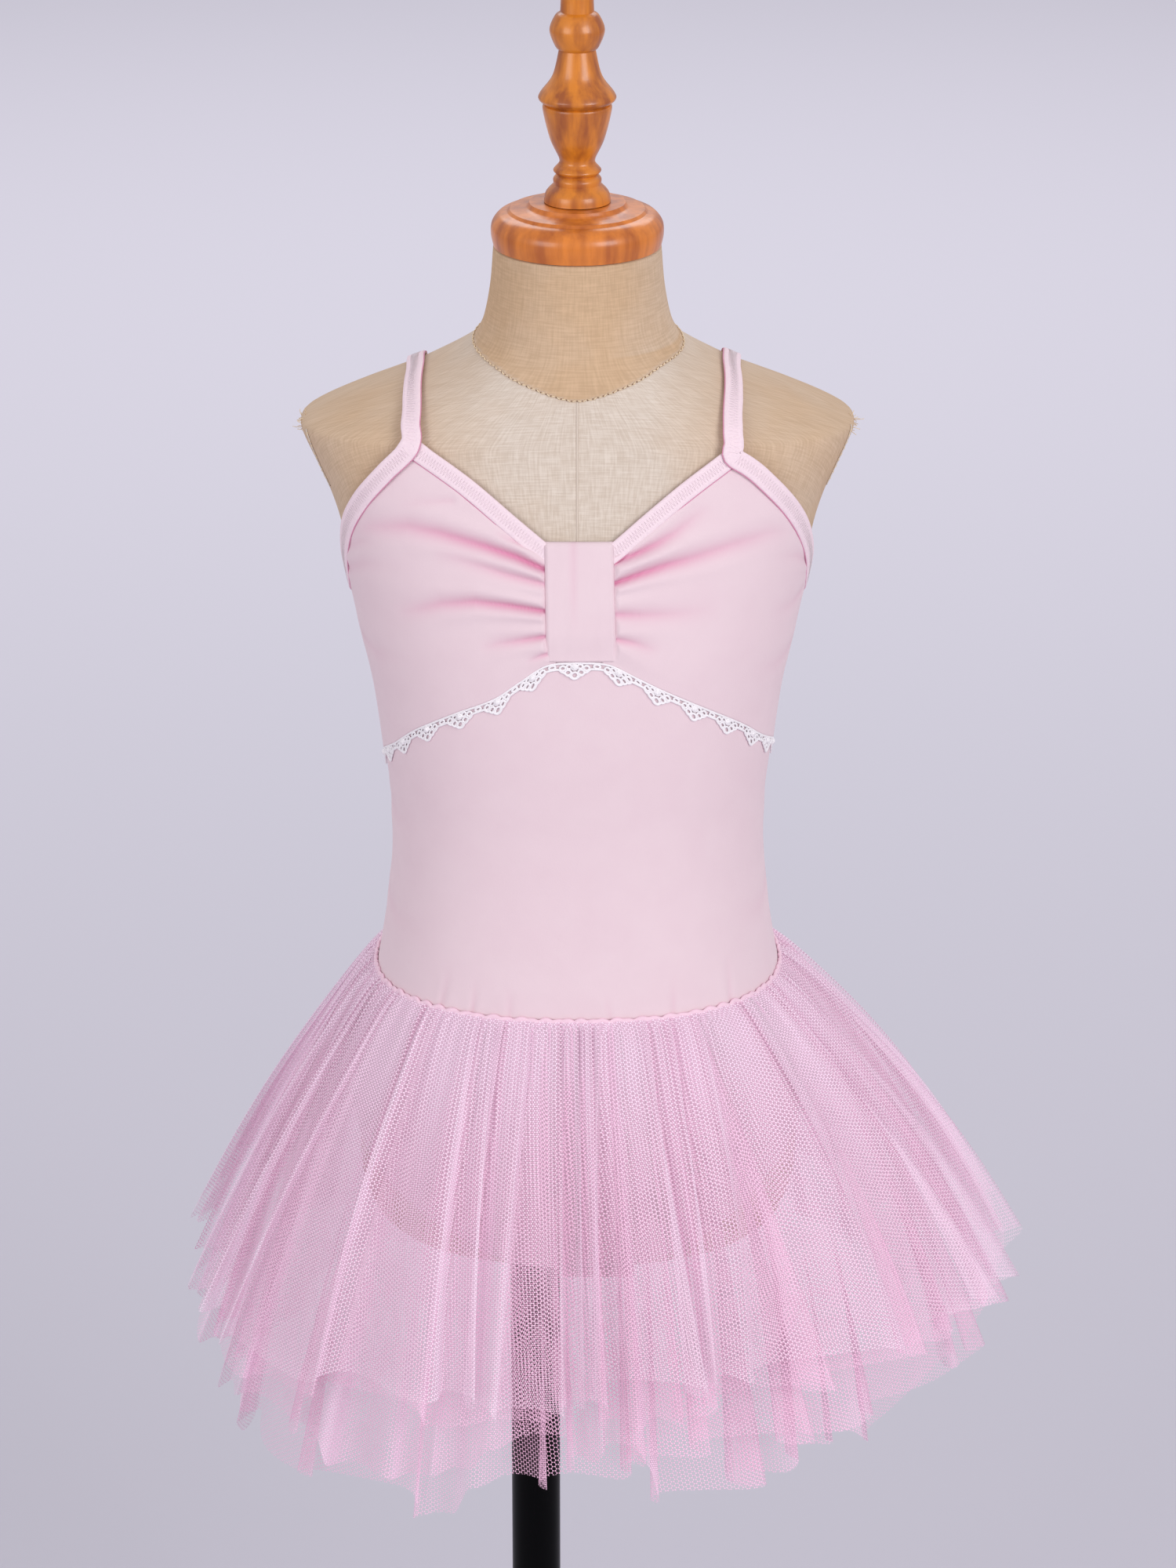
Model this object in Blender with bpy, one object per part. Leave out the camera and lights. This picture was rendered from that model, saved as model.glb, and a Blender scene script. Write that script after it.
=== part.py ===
"""Child's ballet dress with a gathered tulle skirt, worn by a limbless dress form on a pole stand.

Lengths are in millimetres and turn into metres where the meshes are made. The floor is z = 0, the dress
faces -Y, and +X is to the viewer's right. Angles go round the body in degrees: 0 is the centre front,
90 is the right-hand side seam, 180 the centre back and -90 the left-hand side seam.
"""

import math
from collections import namedtuple

import bmesh
import bpy
from mathutils import Vector

MM = 0.001

# Walls and gaps
SEAM_GAP = 0.35
WALL = 1.2
BINDING_WALL = 1.3
BINDING_EDGE = 1.05
NET_WALL = 1.0
SKIN_LIFT = 0.4
FORM_INSET = 0.6
BRIEF_LIFT = 0.9
TRIM_LIFT = SKIN_LIFT + WALL + SEAM_GAP
LACE_LIFT = TRIM_LIFT + 0.25
LACE_WALL = 1.0
JOIN_LIFT = TRIM_LIFT + BINDING_WALL + SEAM_GAP

# Stand
BASE_RADIUS = 150.0
BASE_EDGE = 9.0
BASE_BEVEL = 2.5
BASE_CROWN = 11.0
COLLAR_RADIUS = 26.0
COLLAR_TOP = 34.0
COLLAR_BEVEL = 3.0
POLE_X = -22.0
POLE_RADIUS = 12.5

# Seams, as angles and heights
SIDE_SEAM = 89.85
BAND_LEFT = -7.1
BAND_RIGHT = 8.6
BAND_GAP = 0.3
BAND_TOP = 868.7
BAND_WALL = 3.0
BAND_ROUNDING = 0.35
SKIRT_SEAM_Z = 628.0
BRIEF_TOP_Z = 627.3
GUSSET_LEFT = -8.5
GUSSET_RIGHT = 28.0

# One row for each level of the torso: half width, depth to the front and to the back, and how square
# the outline is, where 2 is an ellipse
Section = namedtuple("Section", "z half_width front back square")
TORSO = [
    Section(480, 78, 50, 60, 2.2),
    Section(487, 93, 61, 73, 2.3),
    Section(500, 104, 70, 86, 2.3),
    Section(525, 110, 77, 95, 2.3),
    Section(560, 109, 80, 97, 2.3),
    Section(600, 103.5, 79.5, 92, 2.3),
    Section(636, 96.3, 77.5, 84, 2.3),
    Section(666, 91.8, 75.5, 78, 2.3),
    Section(695, 89.6, 74.5, 75, 2.3),
    Section(720, 90, 75, 75.5, 2.3),
    Section(740, 92.2, 76.5, 78, 2.3),
    Section(761, 94.6, 78, 80.5, 2.3),
    Section(781, 97.5, 78.5, 82.5, 2.3),
    Section(810, 103.7, 78, 84.5, 2.3),
    Section(826, 107, 76.5, 85, 2.3),
    Section(845, 111, 74, 84.5, 2.35),
    Section(862, 114.5, 70.5, 82, 2.4),
    Section(876, 119, 67, 79, 2.4),
    Section(890, 125.3, 63, 76, 2.4),
    Section(903, 131.2, 59, 72, 2.4),
    Section(908, 132.3, 57.5, 70.5, 2.4),
    Section(912, 127, 56.3, 69.3, 2.4),
    Section(919, 111, 54.3, 67, 2.35),
    Section(925, 95, 52.7, 64.5, 2.3),
    Section(929, 84.3, 51.7, 62.5, 2.25),
    Section(935, 71.5, 50, 60, 2.2),
    Section(941, 60.3, 48.5, 57.5, 2.1),
    Section(947, 51, 47, 54.5, 2.05),
    Section(953, 46.8, 45.5, 51, 2.0),
    Section(960, 44.2, 44, 47.5, 2.0),
    Section(975, 41.5, 41.5, 43, 2.0),
    Section(993, 40, 40, 40, 2.0),
]

# Seam lines round the body. The left and right columns are the heights at minus and plus the angle.
SeamPoint = namedtuple("SeamPoint", "angle left right")
EMPIRE_SEAM = [
    SeamPoint(0, 812.8, 812.8),
    SeamPoint(8, 811, 811.5),
    SeamPoint(15, 802.5, 805),
    SeamPoint(22, 793.5, 798),
    SeamPoint(34, 783.5, 787),
    SeamPoint(48, 771, 774.5),
    SeamPoint(64, 755.5, 760),
    SeamPoint(90, 739, 745),
]
BUST_TOP = [
    SeamPoint(6, 861, 862),
    SeamPoint(10, 867.5, 867),
    SeamPoint(16, 878, 876.5),
    SeamPoint(23.5, 892.5, 890.5),
    SeamPoint(32.5, 907.5, 905),
    SeamPoint(41, 896, 893),
    SeamPoint(52, 880.5, 877.5),
    SeamPoint(63, 864.5, 862),
    SeamPoint(73, 848.5, 847),
    SeamPoint(81, 834, 834),
    SeamPoint(90, 828, 828),
]
BACK_TOP = [
    SeamPoint(90, 828, 828),
    SeamPoint(100, 834, 834),
    SeamPoint(112, 853, 853),
    SeamPoint(126, 874, 874),
    SeamPoint(142, 893, 893),
    SeamPoint(150, 888, 888),
    SeamPoint(160, 868, 868),
    SeamPoint(170, 855, 855),
    SeamPoint(180, 851, 851),
]
LEG_FRONT = [
    SeamPoint(0, 488, 488),
    SeamPoint(18, 491, 491),
    SeamPoint(34, 509, 507),
    SeamPoint(58, 532, 536),
    SeamPoint(90, 556, 560),
]
LEG_BACK = [
    SeamPoint(90, 556, 560),
    SeamPoint(120, 527, 528),
    SeamPoint(150, 498, 498),
    SeamPoint(180, 488, 488),
]

# The gusset's upper side under the form, front to back; lean moves its lower side to the front
GussetPoint = namedtuple("GussetPoint", "y z lean")
GUSSET_ROUTE = [
    GussetPoint(-62.4, 487.2, 1.0),
    GussetPoint(-57, 479.4, 0.8),
    GussetPoint(-47, 475.5, 0.3),
    GussetPoint(-20, 472.5, 0),
    GussetPoint(20, 472, 0),
    GussetPoint(56, 475.5, -0.3),
    GussetPoint(67, 479.4, -0.8),
    GussetPoint(74.35, 487.1, -0.9),
]

# Routes of the bindings along the body, with the height of each point above the form's skin
RoutePoint = namedtuple("RoutePoint", "angle z lift")
NECK_ROUTE_LEFT = [
    RoutePoint(-8.4, 864.8, TRIM_LIFT),
    RoutePoint(-15, 876.5, TRIM_LIFT),
    RoutePoint(-23.5, 893, TRIM_LIFT),
    RoutePoint(-32.6, 907.6, TRIM_LIFT),
]
NECK_ROUTE_RIGHT = [
    RoutePoint(10, 866.2, TRIM_LIFT),
    RoutePoint(16, 877.2, TRIM_LIFT),
    RoutePoint(23, 890.5, TRIM_LIFT),
    RoutePoint(30.3, 903.4, TRIM_LIFT),
]
STRAP_ROUTE_LEFT = [
    RoutePoint(-34, 909, JOIN_LIFT),
    RoutePoint(-39.2, 917, JOIN_LIFT - 0.6),
    RoutePoint(-51, 925, 1.2),
    RoutePoint(-90, 932.4, SKIN_LIFT),
    RoutePoint(-129, 925, 0.8),
    RoutePoint(-140, 917, 1.3),
    RoutePoint(-146.5, 907, TRIM_LIFT),
    RoutePoint(-142, 893, TRIM_LIFT + 0.4),
    RoutePoint(-126, 873.5, TRIM_LIFT + 0.4),
    RoutePoint(-112, 852, TRIM_LIFT),
    RoutePoint(-101, 834, TRIM_LIFT),
    RoutePoint(-90, 827.5, TRIM_LIFT),
    RoutePoint(-81, 833, TRIM_LIFT),
    RoutePoint(-73, 848, TRIM_LIFT),
    RoutePoint(-63.5, 864.5, TRIM_LIFT),
    RoutePoint(-52, 881, TRIM_LIFT),
    RoutePoint(-41, 896.5, JOIN_LIFT - 0.6),
]
STRAP_ROUTE_RIGHT = [
    RoutePoint(31.3, 905.5, JOIN_LIFT),
    RoutePoint(36.4, 916, JOIN_LIFT - 0.6),
    RoutePoint(48, 925, 1.2),
    RoutePoint(90, 934.3, SKIN_LIFT),
    RoutePoint(132, 925, 0.8),
    RoutePoint(142, 917, 1.3),
    RoutePoint(147.5, 907, TRIM_LIFT),
    RoutePoint(142, 893, TRIM_LIFT + 0.4),
    RoutePoint(126, 873.5, TRIM_LIFT + 0.4),
    RoutePoint(112, 852, TRIM_LIFT),
    RoutePoint(101, 834, TRIM_LIFT),
    RoutePoint(90, 827.5, TRIM_LIFT),
    RoutePoint(81, 833, TRIM_LIFT),
    RoutePoint(72, 847.5, TRIM_LIFT),
    RoutePoint(62.3, 862.5, TRIM_LIFT),
    RoutePoint(51.5, 878, TRIM_LIFT),
    RoutePoint(39.5, 894.5, JOIN_LIFT - 0.6),
]
BACK_NECK_ROUTE = [
    RoutePoint(-150.5, 884.5, TRIM_LIFT),
    RoutePoint(-160, 867, TRIM_LIFT),
    RoutePoint(-170, 854, TRIM_LIFT),
    RoutePoint(-180, 850, TRIM_LIFT),
    RoutePoint(-190, 854, TRIM_LIFT),
    RoutePoint(-200, 867, TRIM_LIFT),
    RoutePoint(-209.5, 884.5, TRIM_LIFT),
]
NECK_BINDING_WIDTH = 8.6
STRAP_WIDTH = 9.2
BINDING_SLANT = 6.2

# Gathers of the bust, and the points of the lace
BUST_COLUMNS = 15
BUST_FOLDS = 4
BUST_FOLD_HEIGHT = 2.4
BUST_FOLD_TOP = 0.86
BUST_FOLD_FADE = 30.0
BUST_FOLD_END = 78.0
LACE_POINTS = 15
LACE_BAND = 4.0
LACE_TOOTH = 6.2
LACE_NOTCH = 0.8

# The hem of each tulle tier round the body: how far it stands out from the skirt seam, and its height
HemPoint = namedtuple("HemPoint", "angle reach z")
Tier = namedtuple("Tier", "name lift waves depth hem")
OUTER_HEM = [
    HemPoint(-180, 106, 474),
    HemPoint(-130, 102, 468),
    HemPoint(-90, 87, 458),
    HemPoint(-64, 95, 464),
    HemPoint(-30, 102, 474),
    HemPoint(0, 104, 480),
    HemPoint(45, 108, 488),
    HemPoint(70, 112, 477),
    HemPoint(92, 114, 472),
    HemPoint(135, 109, 474),
    HemPoint(180, 106, 474),
]
MIDDLE_HEM = [
    HemPoint(-180, 94, 442),
    HemPoint(-120, 88, 424),
    HemPoint(-90, 76, 412),
    HemPoint(-66, 82, 415),
    HemPoint(-40, 88, 426),
    HemPoint(0, 94, 444),
    HemPoint(38, 96, 441),
    HemPoint(64, 98, 428),
    HemPoint(90, 100, 440),
    HemPoint(130, 97, 444),
    HemPoint(180, 94, 442),
]
INNER_HEM = [
    HemPoint(-180, 76, 415),
    HemPoint(-120, 72, 395),
    HemPoint(-90, 68, 384),
    HemPoint(-66, 74, 384),
    HemPoint(-43, 76, 398),
    HemPoint(-28, 78, 406),
    HemPoint(0, 80, 420),
    HemPoint(33, 80, 414),
    HemPoint(60, 80, 410),
    HemPoint(90, 86, 418),
    HemPoint(130, 80, 418),
    HemPoint(180, 76, 415),
]
TIERS = [
    Tier("skirt_tier_outer", 5.4, 42, 6.5, OUTER_HEM),
    Tier("skirt_tier_middle", 3.95, 36, 6.0, MIDDLE_HEM),
    Tier("skirt_tier_inner", 2.5, 30, 5.5, INNER_HEM),
]
TIER_LEVELS = [0.0, 0.1, 0.5, 1.0]
POINTS_PER_WAVE = 4
SKIRT_BOW = 6.0
FOLD_DRIFT = 2.4
FOLD_UNEVENNESS = 0.22

# Turned wooden parts, from the bottom up
TurnedPoint = namedtuple("TurnedPoint", "radius z")
CAP_PROFILE = [
    TurnedPoint(39.6, 993.4),
    TurnedPoint(40.7, 999),
    TurnedPoint(40.2, 1004),
    TurnedPoint(37, 1008),
    TurnedPoint(33, 1009.2),
    TurnedPoint(31.8, 1010.5),
    TurnedPoint(25, 1011.2),
    TurnedPoint(23.3, 1012.2),
    TurnedPoint(22.6, 1013.6),
]
FINIAL_PROFILE = [
    TurnedPoint(15.7, 1014),
    TurnedPoint(14.8, 1018.5),
    TurnedPoint(11.2, 1022.5),
    TurnedPoint(11.3, 1025),
    TurnedPoint(9.6, 1027),
    TurnedPoint(11.3, 1029),
    TurnedPoint(9.3, 1031.5),
    TurnedPoint(8.5, 1034.5),
    TurnedPoint(12.8, 1044),
    TurnedPoint(16.2, 1058),
    TurnedPoint(15.2, 1060.5),
    TurnedPoint(18.1, 1063),
    TurnedPoint(17.2, 1066),
    TurnedPoint(11.5, 1074),
    TurnedPoint(8.6, 1086),
    TurnedPoint(10.5, 1088.2),
    TurnedPoint(12.9, 1095.3),
    TurnedPoint(10.5, 1101.8),
    TurnedPoint(7.9, 1104),
    TurnedPoint(7.9, 1112),
    TurnedPoint(10.6, 1117),
    TurnedPoint(11.2, 1122),
    TurnedPoint(8.2, 1128.5),
    TurnedPoint(3.0, 1131.2),
]

# Colours are linear; then roughness and metallic
Finish = namedtuple("Finish", "colour roughness metallic")
JERSEY = Finish((0.80, 0.55, 0.65), 0.85, 0.0)
BINDING = Finish((0.83, 0.60, 0.72), 0.8, 0.0)
TULLE = Finish((0.84, 0.50, 0.70), 0.8, 0.0)
LACE = Finish((0.88, 0.84, 0.86), 0.9, 0.0)
LINEN = Finish((0.66, 0.53, 0.40), 0.95, 0.0)
FINIAL_WOOD = Finish((0.56, 0.23, 0.06), 0.35, 0.0)
CAP_WOOD = Finish((0.60, 0.22, 0.10), 0.35, 0.0)
BLACK_METAL = Finish((0.01, 0.01, 0.012), 0.2, 0.4)


def smooth_read(rows, position, column):
    """Value of one column at a position, on a smooth curve through the table's rows.

    The first column of a row is its position."""
    position = min(max(position, rows[0][0]), rows[-1][0])
    i = 0
    while i < len(rows) - 2 and rows[i + 1][0] < position:
        i += 1
    before, start, end, after = rows[max(i - 1, 0)], rows[i], rows[i + 1], rows[min(i + 2, len(rows) - 1)]
    span = end[0] - start[0]
    t = (position - start[0]) / span
    low, high = getattr(start, column), getattr(end, column)
    slope_in = (high - getattr(before, column)) / (end[0] - before[0]) * span
    slope_out = (getattr(after, column) - low) / (after[0] - start[0]) * span
    if (high - low) * slope_in < 0 or (low - getattr(before, column)) * (high - low) < 0:
        slope_in = 0.0
    if (high - low) * slope_out < 0 or (getattr(after, column) - high) * (high - low) < 0:
        slope_out = 0.0
    return (
        (2 * t**3 - 3 * t**2 + 1) * low
        + (t**3 - 2 * t**2 + t) * slope_in
        + (3 * t**2 - 2 * t**3) * high
        + (t**3 - t**2) * slope_out
    )


def seam_height(rows, angle):
    """Height of a seam line at an angle from -180 to 180."""
    return smooth_read(rows, abs(angle), "left" if angle < 0 else "right")


def torso_section(z):
    return Section(z, *(smooth_read(TORSO, z, column) for column in Section._fields[1:]))


def torso_point(angle, z):
    """Point of the form's skin."""
    section = torso_section(z)
    across, along = math.sin(math.radians(angle)), math.cos(math.radians(angle))
    depth = section.front if along >= 0 else section.back
    reach = (abs(across) ** section.square + abs(along) ** section.square) ** (-1 / section.square)
    return Vector((section.half_width * reach * across, -depth * reach * along, z))


def torso_level(x, y, z):
    """0 on the skin, more outside it."""
    section = torso_section(z)
    depth = section.front if y < 0 else section.back
    return abs(x / section.half_width) ** section.square + abs(y / depth) ** section.square - 1


def skin_slope(point):
    """How fast torso_level grows along X, Y and Z; it points away from the skin."""
    step = 0.5
    return Vector(
        (torso_level(*(point + axis * step)) - torso_level(*(point - axis * step))) / (2 * step)
        for axis in (Vector((1, 0, 0)), Vector((0, 1, 0)), Vector((0, 0, 1)))
    )


def lifted(point, lift):
    """Point at a distance out from a point of the skin, square to it."""
    return point + skin_slope(point).normalized() * lift


def skin_point(angle, z, lift):
    return lifted(torso_point(angle, z), lift)


def to_skin(point):
    """Nearest point of the skin, found by sliding along the slope."""
    for _ in range(8):
        slope = skin_slope(point)
        point = point - slope * (torso_level(*point) / slope.length_squared)
    return point


def material(name, finish):
    made = bpy.data.materials.new(name)
    made.use_nodes = True
    shader = made.node_tree.nodes["Principled BSDF"]
    shader.inputs["Base Color"].default_value = (*finish.colour, 1.0)
    shader.inputs["Roughness"].default_value = finish.roughness
    shader.inputs["Metallic"].default_value = finish.metallic
    return made


def add_node(name, points, faces, finish, smooth_angle=50.0):
    """Object with its own material from points in mm, with its faces turned outward."""
    mesh = bpy.data.meshes.new(name)
    mesh.from_pydata([point * MM for point in points], [], faces)
    shape = bmesh.new()
    shape.from_mesh(mesh)
    bmesh.ops.recalc_face_normals(shape, faces=shape.faces)
    shape.to_mesh(mesh)
    shape.free()
    mesh.shade_smooth()
    mesh.set_sharp_from_angle(angle=math.radians(smooth_angle))
    mesh.materials.append(material(name + "_finish", finish))
    bpy.context.scene.collection.objects.link(bpy.data.objects.new(name, mesh))


def grid_faces(rows, columns, start, closed):
    """Quads over a grid of points; a closed grid joins its last column to its first."""
    faces = []
    for row in range(rows - 1):
        for column in range(columns if closed else columns - 1):
            beside = (column + 1) % columns
            low, high = start + row * columns, start + (row + 1) * columns
            faces.append((low + column, low + beside, high + beside, high + column))
    return faces


def capped_tube_faces(rings, sides):
    ends = [tuple(range(sides)), tuple(range((rings - 1) * sides, rings * sides))]
    return grid_faces(rings, sides, 0, True) + ends


def add_wall(name, inner, outer, finish, closed=False):
    """Cloth wall between two grids of points, which are lists of rows, with its rims filled."""
    rows, columns = len(inner), len(inner[0])
    size = rows * columns
    points = [point for row in inner for point in row] + [point for row in outer for point in row]
    faces = grid_faces(rows, columns, 0, closed) + grid_faces(rows, columns, size, closed)
    for row in (0, rows - 1):
        for column in range(columns if closed else columns - 1):
            here, beside = row * columns + column, row * columns + (column + 1) % columns
            faces.append((here, beside, size + beside, size + here))
    if not closed:
        for column in (0, columns - 1):
            for row in range(rows - 1):
                here, above = row * columns + column, (row + 1) * columns + column
                faces.append((here, above, size + above, size + here))
    add_node(name, points, faces, finish)


def spread(start, end, steps):
    return [start + (end - start) * step / steps for step in range(steps + 1)]


def flat_relief(angle, share):
    return 0.0


def add_panel(name, angles, low, high, shares, lift=SKIN_LIFT, relief=flat_relief):
    """Panel of the leotard over the form's skin, between two seam lines given by the angle.

    The shares are its rows, from 0 at the low seam line to 1 at the high one."""
    inner, outer = [], []
    for share in shares:
        inner_row, outer_row = [], []
        for angle in angles:
            z = low(angle) + (high(angle) - low(angle)) * share
            raised = relief(angle, share)
            inner_row.append(skin_point(angle, z, lift + raised))
            outer_row.append(skin_point(angle, z, lift + raised + WALL))
        inner.append(inner_row)
        outer.append(outer_row)
    add_wall(name, inner, outer, JERSEY)


def wrap(angle):
    return (angle + 180) % 360 - 180


def bust_relief(edge):
    """Gathers that start at the band's edge and fade toward the side seam."""

    def relief(angle, share):
        distance = abs(angle - edge)
        fade = math.exp(-distance / BUST_FOLD_FADE) * max(0.0, 1 - distance / BUST_FOLD_END)
        turn = 2 * math.pi * BUST_FOLDS * min(share / BUST_FOLD_TOP, 1.0)
        return BUST_FOLD_HEIGHT * fade * 0.5 * (1 - math.cos(turn))

    return relief


def add_bust():
    def low(angle):
        return seam_height(EMPIRE_SEAM, angle) + SEAM_GAP / 2

    def high(angle):
        return seam_height(BUST_TOP, angle)

    def closer_to_band(edge, side_seam):
        """Angles from the band's edge to the side seam, closer together near the band."""
        return [edge + (side_seam - edge) * share**1.35 for share in spread(0, 1, BUST_COLUMNS)]

    left_angles = closer_to_band(BAND_LEFT - BAND_GAP, -SIDE_SEAM)
    right_angles = closer_to_band(BAND_RIGHT + BAND_GAP, SIDE_SEAM)
    shares = spread(0, BUST_FOLD_TOP, 3 * BUST_FOLDS) + [1.0]
    add_panel("bust_left", left_angles, low, high, shares, relief=bust_relief(BAND_LEFT))
    add_panel("bust_right", right_angles, low, high, shares, relief=bust_relief(BAND_RIGHT))


def add_band():
    """Centre band: thicker than the jersey, with rounded long edges."""
    inner, outer = [], []
    angles = spread(BAND_LEFT, BAND_RIGHT, 6)
    for z in spread(seam_height(EMPIRE_SEAM, 0) + SEAM_GAP / 2, BAND_TOP, 6):
        inner.append([skin_point(angle, z, SKIN_LIFT) for angle in angles])
        row = []
        for angle in angles:
            side = abs(2 * (angle - BAND_LEFT) / (BAND_RIGHT - BAND_LEFT) - 1)
            row.append(skin_point(angle, z, SKIN_LIFT + BAND_WALL * (1 - BAND_ROUNDING * side**4)))
        outer.append(row)
    add_wall("centre_band", inner, outer, JERSEY)


def add_midriff():
    def low(angle):
        return SKIRT_SEAM_Z

    def high(angle):
        return seam_height(EMPIRE_SEAM, angle) - SEAM_GAP / 2

    add_panel("midriff_front", spread(-SIDE_SEAM, SIDE_SEAM, 26), low, high, spread(0, 1, 5))


def add_back():
    def low(angle):
        return SKIRT_SEAM_Z

    def high(angle):
        return seam_height(BACK_TOP, wrap(angle))

    add_panel("back_panel", spread(-180 - SIDE_SEAM, SIDE_SEAM - 180, 28), low, high, spread(0, 1, 9))


def add_brief():
    """The leotard under the skirt, front and back, and the gusset that joins them under the form."""

    def top(angle):
        return BRIEF_TOP_Z

    def front_leg(angle):
        return seam_height(LEG_FRONT, angle)

    def back_leg(angle):
        return seam_height(LEG_BACK, wrap(angle))

    shares = [0, 0.1, 0.25, 0.5, 0.75, 1]
    add_panel("brief_front", spread(-SIDE_SEAM, SIDE_SEAM, 20), front_leg, top, shares, lift=BRIEF_LIFT)
    back_angles = spread(-180 - SIDE_SEAM, SIDE_SEAM - 180, 20)
    add_panel("brief_back", back_angles, back_leg, top, shares, lift=BRIEF_LIFT)

    inner, outer = [], []
    for stop in GUSSET_ROUTE:
        inner.append([Vector((x, stop.y, stop.z)) for x in spread(GUSSET_LEFT, GUSSET_RIGHT, 2)])
        outer.append([point - Vector((0, stop.lean, WALL)) for point in inner[-1]])
    add_wall("brief_gusset", inner, outer, JERSEY)


def route_curve(route, closed, per_point):
    """Points of the skin on a smooth curve through a route, each with its lift."""
    stops = [(torso_point(stop.angle, stop.z), stop.lift) for stop in route]
    count = len(stops)
    read = []
    for i in range(count if closed else count - 1):
        if closed:
            four = [stops[(i + k - 1) % count] for k in range(4)]
        else:
            four = [stops[min(max(i + k - 1, 0), count - 1)] for k in range(4)]
        for step in range(per_point):
            t = step / per_point
            weights = (
                -0.5 * t**3 + t**2 - 0.5 * t,
                1.5 * t**3 - 2.5 * t**2 + 1,
                -1.5 * t**3 + 2 * t**2 + 0.5 * t,
                0.5 * t**3 - 0.5 * t**2,
            )
            point = sum((stop[0] * weight for weight, stop in zip(weights, four)), Vector())
            lift = four[1][1] * (1 - t) + four[2][1] * t
            read.append((to_skin(point), lift))
    if not closed:
        read.append(stops[-1])
    return read


def add_strip(name, route, width, closed=False, slant=0.0, per_point=3):
    """Binding or strap: a strip of even width that follows a route along the form's skin.

    A slant slides its first end along on one side and back on the other, so that it is cut askew."""
    path = route_curve(route, closed, per_point)
    count = len(path)
    inner, outer = [], []
    for i, (centre, lift) in enumerate(path):
        before = path[(i - 1) % count if closed else max(i - 1, 0)][0]
        after = path[(i + 1) % count if closed else min(i + 1, count - 1)][0]
        ahead = (after - before).normalized()
        across = skin_slope(centre).cross(ahead).normalized()
        skew = ahead * slant * max(0.0, 1 - i / per_point)
        inner_row, outer_row = [], []
        for side in (-0.5, 0.0, 0.5):
            middle = to_skin(centre + across * width * side + skew * side)
            thick = BINDING_WALL if side == 0 else BINDING_EDGE
            inner_row.append(lifted(middle, lift))
            outer_row.append(lifted(middle, lift + thick))
        inner.append(inner_row)
        outer.append(outer_row)
    if closed:
        inner = [list(column) for column in zip(*inner)]
        outer = [list(column) for column in zip(*outer)]
    add_wall(name, inner, outer, BINDING, closed=closed)


def add_bindings():
    add_strip("neck_binding_left", NECK_ROUTE_LEFT, NECK_BINDING_WIDTH, slant=-BINDING_SLANT)
    add_strip("neck_binding_right", NECK_ROUTE_RIGHT, NECK_BINDING_WIDTH, slant=BINDING_SLANT)
    add_strip("armhole_strap_left", STRAP_ROUTE_LEFT, STRAP_WIDTH, closed=True)
    add_strip("armhole_strap_right", STRAP_ROUTE_RIGHT, STRAP_WIDTH, closed=True)
    add_strip("back_binding", BACK_NECK_ROUTE, NECK_BINDING_WIDTH)


def add_lace():
    """Crochet lace with pointed teeth, sewn into the empire seam and lying on the midriff."""
    inner, outer = [[], [], []], [[], [], []]
    for i, angle in enumerate(spread(-SIDE_SEAM, SIDE_SEAM, 2 * LACE_POINTS)):
        top = seam_height(EMPIRE_SEAM, angle) - SEAM_GAP
        tooth = LACE_TOOTH if i % 2 else LACE_NOTCH
        for row, drop in enumerate((0.0, LACE_BAND, LACE_BAND + tooth)):
            inner[row].append(skin_point(angle, top - drop, LACE_LIFT))
            outer[row].append(skin_point(angle, top - drop, LACE_LIFT + LACE_WALL))
    add_wall("lace_trim", inner, outer, LACE)


def wave_depth(tier, angle, share):
    """Depth of a tier's folds, uneven round the body and growing toward the hem."""
    turn = math.radians(angle)
    uneven = 1 - FOLD_UNEVENNESS * (1 - math.sin(5 * turn + tier.waves) * math.cos(3 * turn))
    return tier.depth * uneven * share**1.15


def tier_point(tier, angle, share, step, side):
    """Point of a tulle tier: share is 0 at the seam and 1 at the hem, side is 0 inside and 1 outside."""
    drift = math.sin(math.radians(3 * angle) + tier.waves) + 0.6 * math.sin(math.radians(7 * angle))
    seam_angle = wrap(angle + FOLD_DRIFT * drift)
    reach = smooth_read(tier.hem, seam_angle, "reach")
    hem_z = smooth_read(tier.hem, seam_angle, "z")
    start = skin_point(seam_angle, BRIEF_TOP_Z, tier.lift)
    centre = torso_point(seam_angle, BRIEF_TOP_Z)
    out = skin_point(seam_angle, BRIEF_TOP_Z, 1) - centre
    out.z = 0
    out.normalize()
    fold = (0.0, 1.0, 0.0, -1.0)[step % POINTS_PER_WAVE] * wave_depth(tier, seam_angle, share)
    bow = SKIRT_BOW * math.sin(math.pi * share)
    distance = reach * share + bow + fold + side * NET_WALL
    return start + out * distance + Vector((0, 0, (hem_z - start.z) * share))


def add_tiers():
    for tier in TIERS:
        steps = tier.waves * POINTS_PER_WAVE
        angles = [-180 + 360 * step / steps for step in range(steps)]
        grids = [
            [
                [tier_point(tier, angle, share, step, side) for step, angle in enumerate(angles)]
                for share in TIER_LEVELS
            ]
            for side in (0, 1)
        ]
        add_wall(tier.name, grids[0], grids[1], TULLE, closed=True)


def add_torso():
    sides = 32
    low_levels = [480, 487, 500, 525, 560, 600, 636, 662, 688, 714, 750, 790, 826, 848, 868, 890]
    high_levels = [903, 908, 912, 919, 925, 929, 935, 941, 947, 953, 960, 975, 992.6]
    levels = low_levels + high_levels
    points = [skin_point(360 * side / sides, z, -FORM_INSET) for z in levels for side in range(sides)]
    faces = capped_tube_faces(len(levels), sides)
    add_node("form_torso", points, faces, LINEN)


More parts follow.
